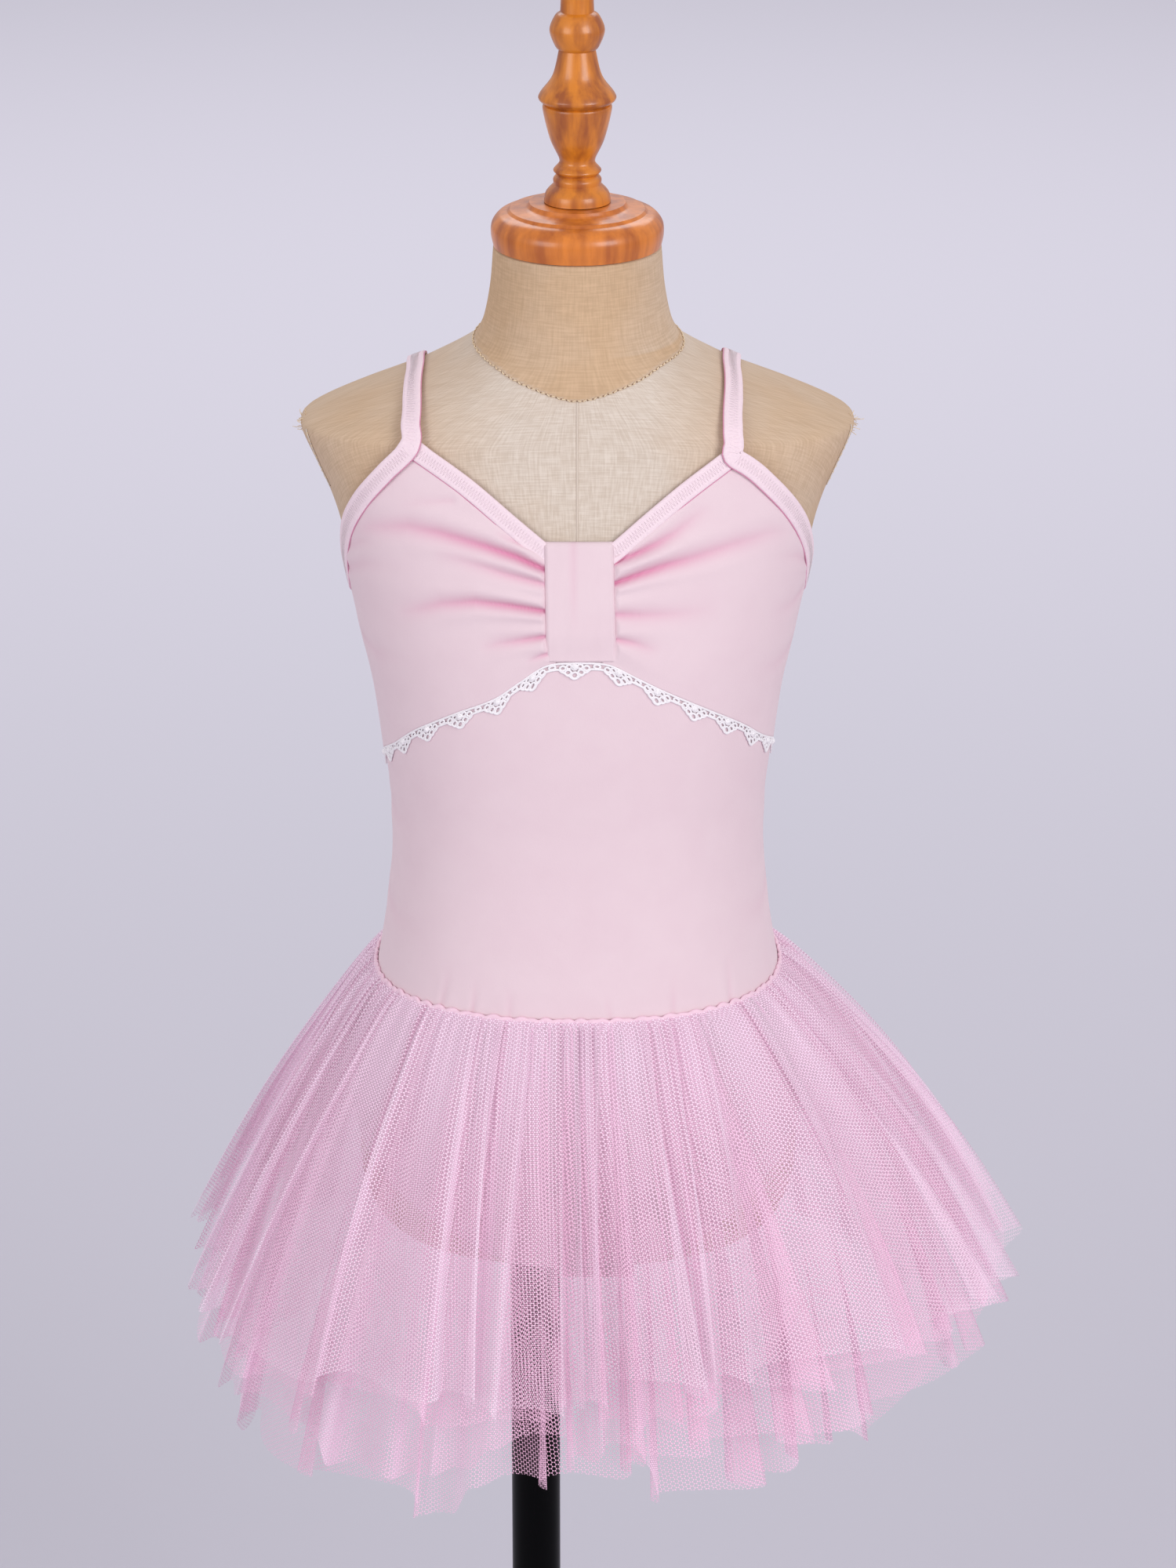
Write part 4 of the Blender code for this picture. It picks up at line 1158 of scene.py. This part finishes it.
def binding_piece(name, route, width, material, thread, seam_shadow, panel_side, closed, slant):
    """Binding with rolled edges, its zigzag row of stitches, and a dark cord of painted shadow along its
    seam.

    panel_side is 1 or -1, the side across the route where its panel lies."""
    line, lift, length = route_line(route, closed)
    ahead, across = strip_frame(line, closed)
    skew = slant * np.clip(1 - length / 12.0, 0, 1)
    top, under = [], []
    for side, high in BINDING_SECTION:
        middle = to_skin(line + across * width * (side * 0.5) + ahead * (skew * (side * 0.5))[:, None])
        away = outward(middle)
        top.append(middle + away * (lift + high * BINDING_WALL)[:, None])
        under.append(middle + away * lift[:, None])
    rings = np.stack(top + under[::-1], 1)
    piece = tube_piece(name + "_cloth", [rings], material, [name], closed)

    places = np.arange(1.0, length[-1] - 0.5, ZIGZAG_PITCH / 2)
    reach = width * ZIGZAG_REACH
    swing = np.where(np.arange(len(places)) % 2, reach, -reach)
    sideways = read_line(places, length, across)
    raised = np.interp(places, length, lift) + BINDING_WALL * 0.98 + 0.05
    path = to_skin(read_line(places, length, line) + sideways * swing[:, None])
    path = path + outward(path) * raised[:, None]
    stitches = cord_piece(name + "_stitches", [path], 0.13, thread, sides=4)

    # Painted shadow: a thin dark cord at the binding's foot, on the panel's side.
    foot = to_skin(line + across * panel_side * (width * 0.5 + 0.12))
    foot = foot + outward(foot) * (lift + 0.62)[:, None]
    seam = cord_piece(name + "_seam", [foot], 0.26, seam_shadow, sides=5, closed=closed)
    return piece, [stitches, seam], length[-1]


class DRESS_OT_bindings(bpy.types.Operator):
    """Makes the straps and bindings with their stitches"""

    bl_idname = "dress.bindings"
    bl_label = "Straps and bindings"

    def execute(self, context):
        colours = context.scene.dress_cloth
        elastic = woven_elastic("fold_over_elastic", colours.binding, colours.binding_fleck)
        thread = plain_thread("polyester_thread", linear("F6E6EC"))
        # Painted shadow: the cords along the bindings' seams take the jersey's crease shade colour.
        seam_shadow = plain_thread("painted_binding_seam_shadow", colours.painted_jersey_shade)
        rows = [
            ("neck_binding_left", NECK_ROUTE_LEFT, NECK_BINDING_WIDTH, 1, False, -6.2),
            ("neck_binding_right", NECK_ROUTE_RIGHT, NECK_BINDING_WIDTH, -1, False, 6.2),
            ("armhole_strap_left", STRAP_ROUTE_LEFT, STRAP_WIDTH, -1, True, 0.0),
            ("armhole_strap_right", STRAP_ROUTE_RIGHT, STRAP_WIDTH, 1, True, 0.0),
            ("back_binding", BACK_NECK_ROUTE, NECK_BINDING_WIDTH, 1, False, 0.0),
        ]
        for name, route, width, panel_side, closed, slant in rows:
            piece, sewing, length = binding_piece(
                name, route, width, elastic, thread, seam_shadow, panel_side, closed, slant
            )
        return {"FINISHED"}


class DRESS_OT_lace(bpy.types.Operator):
    """Makes the crochet lace with its pointed teeth"""

    bl_idname = "dress.lace"
    bl_label = "Lace"

    def execute(self, context):
        cotton = crochet_cotton("crochet_cotton", context.scene.dress_cloth.lace)
        angles = np.linspace(-SIDE_SEAM, SIDE_SEAM, 2000)
        length = lengths_along(torso_point(angles, EMPIRE(angles) - 0.35))
        total = length[-1]
        pitch = total / LACE_POINTS

        def on_body(flat, height=0.0):
            """Points on the body from places along the seam and below it."""
            angle = np.interp(flat[:, 0], length, angles)
            top = EMPIRE(angle) + 0.2
            return skin_point(angle, top - flat[:, 1], np.full(len(flat), LACE_LIFT + height))

        def ring(x, y, across, down, count=16):
            turns = full_turn(count)
            return np.stack([x + across * np.cos(turns), y + down * np.sin(turns)], -1)

        rings, bosses = [], []
        for i in range(LACE_POINTS):
            middle = (i + 0.5) * pitch
            for away, drop, across, down in LACE_HOLES:
                for side in (-1, 1) if away else (1,):
                    rings.append(on_body(ring(middle + side * away, drop, across, down)))
            rings.append(on_body(ring(i * pitch, 2.1, 1.5, 0.95)))
            for radius, height in LACE_BOSSES:
                bosses.append(on_body(ring(middle, 2.5, radius, radius * 0.85, 12), height))
        places = np.linspace(0, total, 1100)
        from_middle = np.abs((places / pitch) % 1.0 - 0.5) * pitch
        point = np.clip(1 - from_middle / LACE_HALF_POINT, 0, 1)
        picot = 0.45 * np.abs(np.sin(from_middle * math.pi / 2.4)) * (from_middle < LACE_HALF_POINT)
        hem = LACE_BAND_DROP + LACE_POINT_DROP * point + picot
        top = np.full(len(places), 0.6)
        lines = [on_body(np.stack([places, drop], -1)) for drop in (top, hem)]
        trim = cord_piece(
            "lace_rings", rings, LACE_YARN, cotton, ["lace_trim"], closed=True, flatten=0.75
        )
        boss = cord_piece("lace_bosses", bosses, LACE_YARN, cotton, closed=True)
        edges = cord_piece("lace_edges", lines, LACE_YARN * 1.05, cotton, flatten=0.8)
        return {"FINISHED"}


def uneven(rng, folds, places, span, power=1.0):
    """Smooth values within a span round the body, one drawn for each fold."""
    low, high = span
    drawn = low + (high - low) * rng.random(folds) ** power
    index = np.floor(places).astype(int) % folds
    blend = (1 - np.cos(np.pi * (places % 1.0))) / 2
    return drawn[index] * (1 - blend) + drawn[(index + 1) % folds] * blend


def net_uv(grid, places):
    """Flat places on a layer of net, in metres, and the length of cloth between its columns.

    Each fold's flat places widen down from its own middle, as the folds themselves do."""
    steps_round = np.linalg.norm(np.diff(grid, axis=1), axis=2)
    cloth = np.maximum(steps_round[-1], steps_round.mean(0))
    round_hem = np.concatenate([[0], np.cumsum(cloth)])
    row_share = steps_round.sum(1) / cloth.sum()
    fold_middle = np.interp(np.round(places - 0.25) + 0.25, places, round_hem)
    flat_round = fold_middle + row_share[:, None] * (round_hem - fold_middle)
    steps_down = np.linalg.norm(np.diff(grid, axis=0), axis=2)
    down = np.concatenate([np.zeros((1, grid.shape[1])), np.cumsum(steps_down, 0)])
    return np.stack([flat_round, down], -1) * MM, cloth


def net_gather(grid, angle, cloth):
    """How far the threads close at each point, where more cloth lies on each millimetre seen."""
    seen = np.abs(np.diff(np.radians(angle), axis=1)) * np.linalg.norm(grid[:, 1:, :2], axis=2)
    seen = np.concatenate([seen, seen[:, :1]], 1) / np.append(cloth, cloth[0])
    seen = np.clip(seen, 0.3, 1.0)
    seen = (np.roll(seen, 1, 1) + 2 * seen + np.roll(seen, -1, 1)) / 4
    gather = 1 - (1 - NET_COVER) ** (0.7 * (1 / seen - 1))
    return np.clip(gather, 0, MOST_GATHER)


def net_grid(layer):
    """Points, flat places and gathers of one layer of net, folded unevenly round the body."""
    rng = np.random.default_rng(layer.seed)
    folds, seed = layer.folds, layer.seed
    places = np.linspace(0, folds, folds * NET_POINTS_PER_FOLD + 1)
    side_on = np.sin(2 * math.pi * places / folds) ** 2
    width = uneven(rng, folds, places, FOLD_WIDTHS, 1.6) * (1 + SIDE_WIDER * side_on)
    along = np.concatenate([[0], np.cumsum((width[1:] + width[:-1]) / 2)])
    base = along / along[-1] * 360 - 180
    degrees = width / along[-1] * 360 * NET_POINTS_PER_FOLD
    depth = layer.depth * uneven(rng, folds, places, FOLD_DEPTHS) * np.sqrt(width)
    depth = depth * (1 - SIDE_FLATTER * side_on)
    lap = layer.lap * uneven(rng, folds, places, FOLD_LAPS)
    late = uneven(rng, folds, places, FOLD_DELAYS)
    # Each fold's panel of hem is level, with a step up or down to the next one
    turned = places + 0.25
    panel = np.floor(turned) + ease((turned % 1.0 - 0.3) / 0.4)
    steps = uneven(rng, folds, panel, (-layer.hem_step, layer.hem_step))
    small_fold = uneven(rng, folds, places, SMALL_FOLDS)

    # Angle of each point, swaying more towards the hem
    turn = 2 * math.pi * places
    around = np.radians(base)
    share = np.linspace(0, 1, NET_ROWS)[:, None] ** 1.35
    opening = share**0.75
    sway = sum(row.size * np.sin(row.times * around + row.phase * seed) for row in NET_SWAYS)
    angle = base + degrees * lap * np.sin(turn) * (0.35 + 0.65 * opening) + sway * share
    seam_angle = wrap(angle)

    # How far each point stands out from the skirt seam: the main folds, smaller ones, and the fine
    # gathers, which die out below the seam
    middle_wave = np.sin(2.3 * turn + 2.6 * np.sin(5 * around + seed)) * small_fold
    fine_wave = np.sin(5 * turn + 2.0 * np.sin(11 * around))
    small_wave = np.sin(9 * turn + 2.5 * np.sin(7 * around + 1.0))
    ripple = depth * np.sin(turn - late) * share**0.9
    ripple = ripple + NET_SMALL_FOLD * middle_wave * share**0.5 * np.exp(-share / 0.6)
    gathers = NET_GATHERS[0] * fine_wave + NET_GATHERS[1] * small_wave
    ripple = ripple + gathers * np.exp(-share / GATHERS_FADE) * ease(share / 0.03)
    billow = NET_BILLOW * np.sin(4 * around + seed) * share
    reach = smooth_curve(layer.hem, "reach")(seam_angle)
    rise = (layer.lift - layer.top) * (1 - np.exp(-share / 0.03))
    bow = SKIRT_BOW + RIGHT_BOW * np.clip(np.sin(around), 0, 1)
    distance = rise + reach * share + bow * np.sin(math.pi * share) + ripple + billow

    start = skin_point(seam_angle, NET_TOP_Z, np.full(seam_angle.shape, layer.top))
    out = outward(torso_point(seam_angle, NET_TOP_Z))
    out[..., 2] = 0
    grid = start + unit(out) * distance[..., None]
    hem_z = smooth_curve(layer.hem, "z")(seam_angle) + steps + HEM_WAVE * np.sin(turn + 1.0)
    grid[..., 2] = start[..., 2] + (hem_z - NET_TOP_Z) * share
    uv, cloth = net_uv(grid, places)
    return grid, uv, net_gather(grid, angle, cloth)


def seam_roll(material):
    """Narrow roll of gathered net that closes the skirt seam, uneven as the gathers under it are."""
    angles = np.linspace(-180, 180, 720, endpoint=False)
    around = np.radians(angles)
    height = NET_TOP_Z - 0.7 + 0.4 * np.sin(61 * around + 2 * np.sin(9 * around))
    height = height + 0.35 * np.sin(97 * around + 3 * np.sin(5 * around))
    lift = 2.55 + 0.25 * np.sin(83 * around + np.sin(13 * around))
    path = skin_point(angles, height, lift)
    return cord_piece(
        "skirt_seam_roll", [path], SEAM_ROLL_RADIUS, material, sides=10, closed=True, flatten=0.6
    )


class DRESS_OT_skirt(bpy.types.Operator):
    """Makes the layers of tulle and the roll of the skirt seam"""

    bl_idname = "dress.skirt"
    bl_label = "Tulle skirt"

    def execute(self, context):
        colours = context.scene.dress_cloth
        cell = colours.net_cell
        outer = soft_tulle("nylon_tulle", colours.tulle, colours.tulle_fold_light, cell)
        # Painted shade: a deeper pink copy of the same tulle for the layers under the outer one.
        inner = soft_tulle("nylon_tulle_inner_shade", colours.tulle_inner_shade, colours.tulle_inner_shade_fold_light, cell)
        roll = seam_roll(plain_thread("gathered_tulle_edge", colours.seam_roll))
        for layer in NET_LAYERS:
            grid, uv, gather = net_grid(layer)
            outermost = layer.name == "net_outer"
            tulle = outer if outermost else inner
            piece = grid_piece(
                layer.name, grid, tulle, layer.nodes, uv=uv, values={"gather": gather}
            )
        return {"FINISHED"}


def stitch_line(line, pitch, stitches, holes):
    """Adds short slanted stitches along a line, each with a dark spot of painted shade in the hole where it
    goes in.
    """
    length = lengths_along(line)
    ahead, across = strip_frame(line, False)
    for i, place in enumerate(np.arange(pitch / 2, length[-1] - pitch, pitch)):
        spots = place + np.linspace(0, 0.62 * pitch, 4)
        middle = read_line(spots, length, line)
        swing = np.linspace(-0.35, 0.35, 4) * (1 if i % 2 else -1)
        path = to_skin(middle + read_line(spots, length, across) * swing[:, None])
        stitches.append(path + outward(path) * np.array([-0.25, 0.1, 0.1, -0.25])[:, None])
        # Painted shade: a dark cord sunk into the hole where the stitch goes in.
        hole = middle[:1] - ahead[np.searchsorted(length, place)] * np.array([[0.5], [0.0]])
        holes.append(to_skin(hole) + outward(hole) * -0.55)


def frayed_threads():
    """Short loose threads at the worn tips of the shoulders."""
    rng = np.random.default_rng(5)
    threads = []
    for side in (-90, 90):
        for _ in range(FRAYED_THREADS):
            angle, z = side + rng.uniform(-9, 9), rng.uniform(902, 911)
            root = torso_point(angle, z)
            straight = outward(root[None])[0]
            away = straight + rng.uniform(-0.6, 0.6, 3)
            length = rng.uniform(1.2, 2.8)
            bend = rng.uniform(-0.8, 0.8, 3)
            steps = np.linspace(0, 1, 5)[:, None]
            threads.append(root + (away * steps + bend * steps**2) * length - straight * 0.5)
    return threads


def torso_grid(angles):
    """Rows of points just inside the form's skin, closed towards the middle at the bottom and the top."""
    z = np.concatenate([np.linspace(480, 850, 60)[:-1], np.linspace(850, 992.6, 120)])
    shape = (len(z), len(angles))
    around, levels = np.broadcast_to(angles, shape), np.broadcast_to(z[:, None], shape)
    skin = skin_point(around, levels, np.full(shape, LINEN_LIFT))
    bottom, top = skin[0].mean(0), skin[-1].mean(0)
    rows = [bottom + (skin[0] - bottom) * share for share in (0.02, 0.5)]
    rows += list(skin)
    rows += [skin[-1] + (top - skin[-1]) * share for share in (0.5, 0.98)]
    return np.array(rows)


class DRESS_OT_form(bpy.types.Operator):
    """Makes the linen-covered torso of the dress form"""

    bl_idname = "dress.form"
    bl_label = "Dress form"

    def execute(self, context):
        colours = context.scene.dress_stand
        linen = plain_linen("plain_linen", colours.linen, colours.linen_pale, colours.linen_slub)
        angles = np.linspace(-180, 180, 241)
        grid = torso_grid(angles)
        x, high = grid[..., 0], grid[..., 2]
        neck_line = NECK_SEAM_LINE(np.broadcast_to(angles, high.shape))
        # The neck's cloth is cut along the level and the body's is cut from its waist up
        above = high > neck_line
        round_waist = lengths_along(torso_point(angles, 880.0))
        u = np.where(above, NECK_RADIUS * np.radians(angles), round_waist)
        v = np.where(above, high, high - np.abs(grid[..., 1]))
        uv = np.stack([u, v], -1) * MM
        neck = ease((high - neck_line + 0.9) / 1.8)
        shoulder = 0.75 * ease((np.abs(x) - 22) / 75)
        # Painted light: the neck is paler on its right above 950 mm, where the key light falls.
        warmth_and_painted_light = 0.3 * ease((x - 8) / 30) * (high > 950)
        warm = np.maximum(neck, shoulder) - warmth_and_painted_light
        grid_piece("torso_linen", grid, linen, ["form_torso"], uv=uv, values={"warm": warm})

        pale_thread = plain_thread("linen_thread", linear("E6CFAE"))
        # Painted shade for the stitch holes.
        hole_shade = plain_thread("painted_stitch_hole_shade", linear("8A6443"))
        stitches, holes, welts = [], [], []
        neck_angles = np.linspace(-178, 178, 1500)
        stitch_line(torso_point(neck_angles, NECK_SEAM_LINE(neck_angles)), 2.5, stitches, holes)
        for seam in ARM_SEAMS:
            line = route_line([RoutePoint(angle, z, 0.0) for angle, z in seam], False)[0]
            welts.append(line + outward(line) * ARM_WELT_LIFT)
            stitch_line(line, 3.2, stitches, holes)
        front_seam = torso_point(np.zeros(60), np.linspace(*FRONT_SEAM_Z, 60))
        welts.append(front_seam + outward(front_seam) * FRONT_WELT_LIFT)
        cord_piece("form_seam_welts", welts, 0.55, linen, flatten=0.6)
        cord_piece("frayed_tips", frayed_threads(), 0.16, pale_thread, sides=5)
        cord_piece("linen_stitches", stitches, 0.32, pale_thread, sides=5)
        cord_piece("linen_stitch_holes", holes, 0.42, hole_shade, sides=5)
        return {"FINISHED"}


class DRESS_OT_stand(bpy.types.Operator):
    """Makes the wooden cap and finial, the pole and its base"""

    bl_idname = "dress.stand"
    bl_label = "Cap, finial and stand"

    def execute(self, context):
        colours = context.scene.dress_stand
        cap_wood = lacquered_wood("lacquered_beech_cap", colours.cap, colours.cap_grain, 120.0)
        finial_wood = lacquered_wood("lacquered_beech_finial", colours.finial, colours.finial_grain, 160.0)
        enamel = black_enamel("black_enamel", colours.enamel)
        turned_piece("neck_cap", CAP_PROFILE, cap_wood)
        turned_piece("finial", FINIAL_PROFILE, finial_wood)
        turned_piece("pole", POLE_PROFILE, enamel, POLE_X)
        turned_piece("pole_collar", COLLAR_PROFILE, enamel, POLE_X)
        turned_piece("base", BASE_PROFILE, enamel, POLE_X)
        return {"FINISHED"}


def aim(thing, place, target):
    """Places a light or camera in metres and points it at a target."""
    thing.location = Vector(place)
    thing.rotation_euler = (Vector(target) - Vector(place)).to_track_quat("-Z", "Y").to_euler()


def add_light(name, place, target, size, power):
    """Soft white light, a rectangle of that size in metres."""
    data = bpy.data.lights.new(name, "AREA")
    data.shape = "RECTANGLE"
    data.size, data.size_y = size
    data.energy = power
    light = bpy.data.objects.new(name, data)
    bpy.context.scene.collection.objects.link(light)
    aim(light, place, target)


class DRESS_OT_stage(bpy.types.Operator):
    """Makes the floor, the lights and the camera"""

    bl_idname = "dress.stage"
    bl_label = "Studio"

    def execute(self, context):
        settings = context.scene.dress_studio
        paper = matt_paper("background_paper", settings.paper)
        mesh = bpy.data.meshes.new("floor")
        mesh.from_pydata([(-12, -9, 0), (12, -9, 0), (12, 15, 0), (-12, 15, 0)], [], [(0, 1, 2, 3)])
        mesh.materials.append(paper)
        floor = bpy.data.objects.new("floor", mesh)
        context.scene.collection.objects.link(floor)

        middle = (0.0, 0.0, 0.75)
        add_light("key", (2.3, -2.7, 2.3), middle, (1.9, 1.9), settings.key_power)
        add_light("fill", (-2.5, -2.6, 1.9), middle, (1.9, 1.9), settings.fill_power)
        add_light("far", (0.0, 3.6, 3.2), (0.0, 3.6, 0.0), (5.0, 3.0), settings.far_power)

        world = bpy.data.worlds.new("studio")
        world.use_nodes = True
        background = world.node_tree.nodes["Background"]
        background.inputs["Color"].default_value = rgba(linear("ECEBF2"))
        background.inputs["Strength"].default_value = 0.62
        context.scene.world = world
        context.scene.view_settings.view_transform = "Standard"

        data = bpy.data.cameras.new("camera")
        data.sensor_width = 36.0
        data.sensor_fit = "AUTO"
        data.lens = CAMERA_LENS
        camera = bpy.data.objects.new("camera", data)
        context.scene.collection.objects.link(camera)
        pitch = math.radians(CAMERA_PITCH)
        target = Vector((CAMERA_X, 0.0, CAMERA_AIM_Z)) * MM
        back = Vector((0.0, -math.cos(pitch), math.sin(pitch))) * CAMERA_RANGE * MM
        aim(camera, target + back, target)
        context.scene.camera = camera
        return {"FINISHED"}


class DRESS_PT_panel(bpy.types.Panel):
    """Lists the steps and settings of the dress"""

    bl_label = "Ballet dress"
    bl_idname = "DRESS_PT_panel"
    bl_space_type = "VIEW_3D"
    bl_region_type = "UI"
    bl_category = "Ballet dress"

    def draw(self, context):
        for operator in OPERATORS:
            self.layout.operator(operator.bl_idname)
        for group in (context.scene.dress_cloth, context.scene.dress_stand, context.scene.dress_studio):
            box = self.layout.box()
            for key in group.__annotations__:
                box.prop(group, key)


OPERATORS = (
    DRESS_OT_stage,
    DRESS_OT_form,
    DRESS_OT_stand,
    DRESS_OT_bodice,
    DRESS_OT_bindings,
    DRESS_OT_lace,
    DRESS_OT_skirt,
)
CLASSES = (ClothSettings, StandSettings, StudioSettings, *OPERATORS, DRESS_PT_panel)


def register():
    for made in CLASSES:
        bpy.utils.register_class(made)
    bpy.types.Scene.dress_cloth = bpy.props.PointerProperty(type=ClothSettings)
    bpy.types.Scene.dress_stand = bpy.props.PointerProperty(type=StandSettings)
    bpy.types.Scene.dress_studio = bpy.props.PointerProperty(type=StudioSettings)


def unregister():
    for key in ("dress_cloth", "dress_stand", "dress_studio"):
        delattr(bpy.types.Scene, key)
    for made in reversed(CLASSES):
        bpy.utils.unregister_class(made)


def main():
    register()
    for operator in OPERATORS:
        group, name = operator.bl_idname.split(".")
        getattr(getattr(bpy.ops, group), name)()


if __name__ == "__main__":
    main()
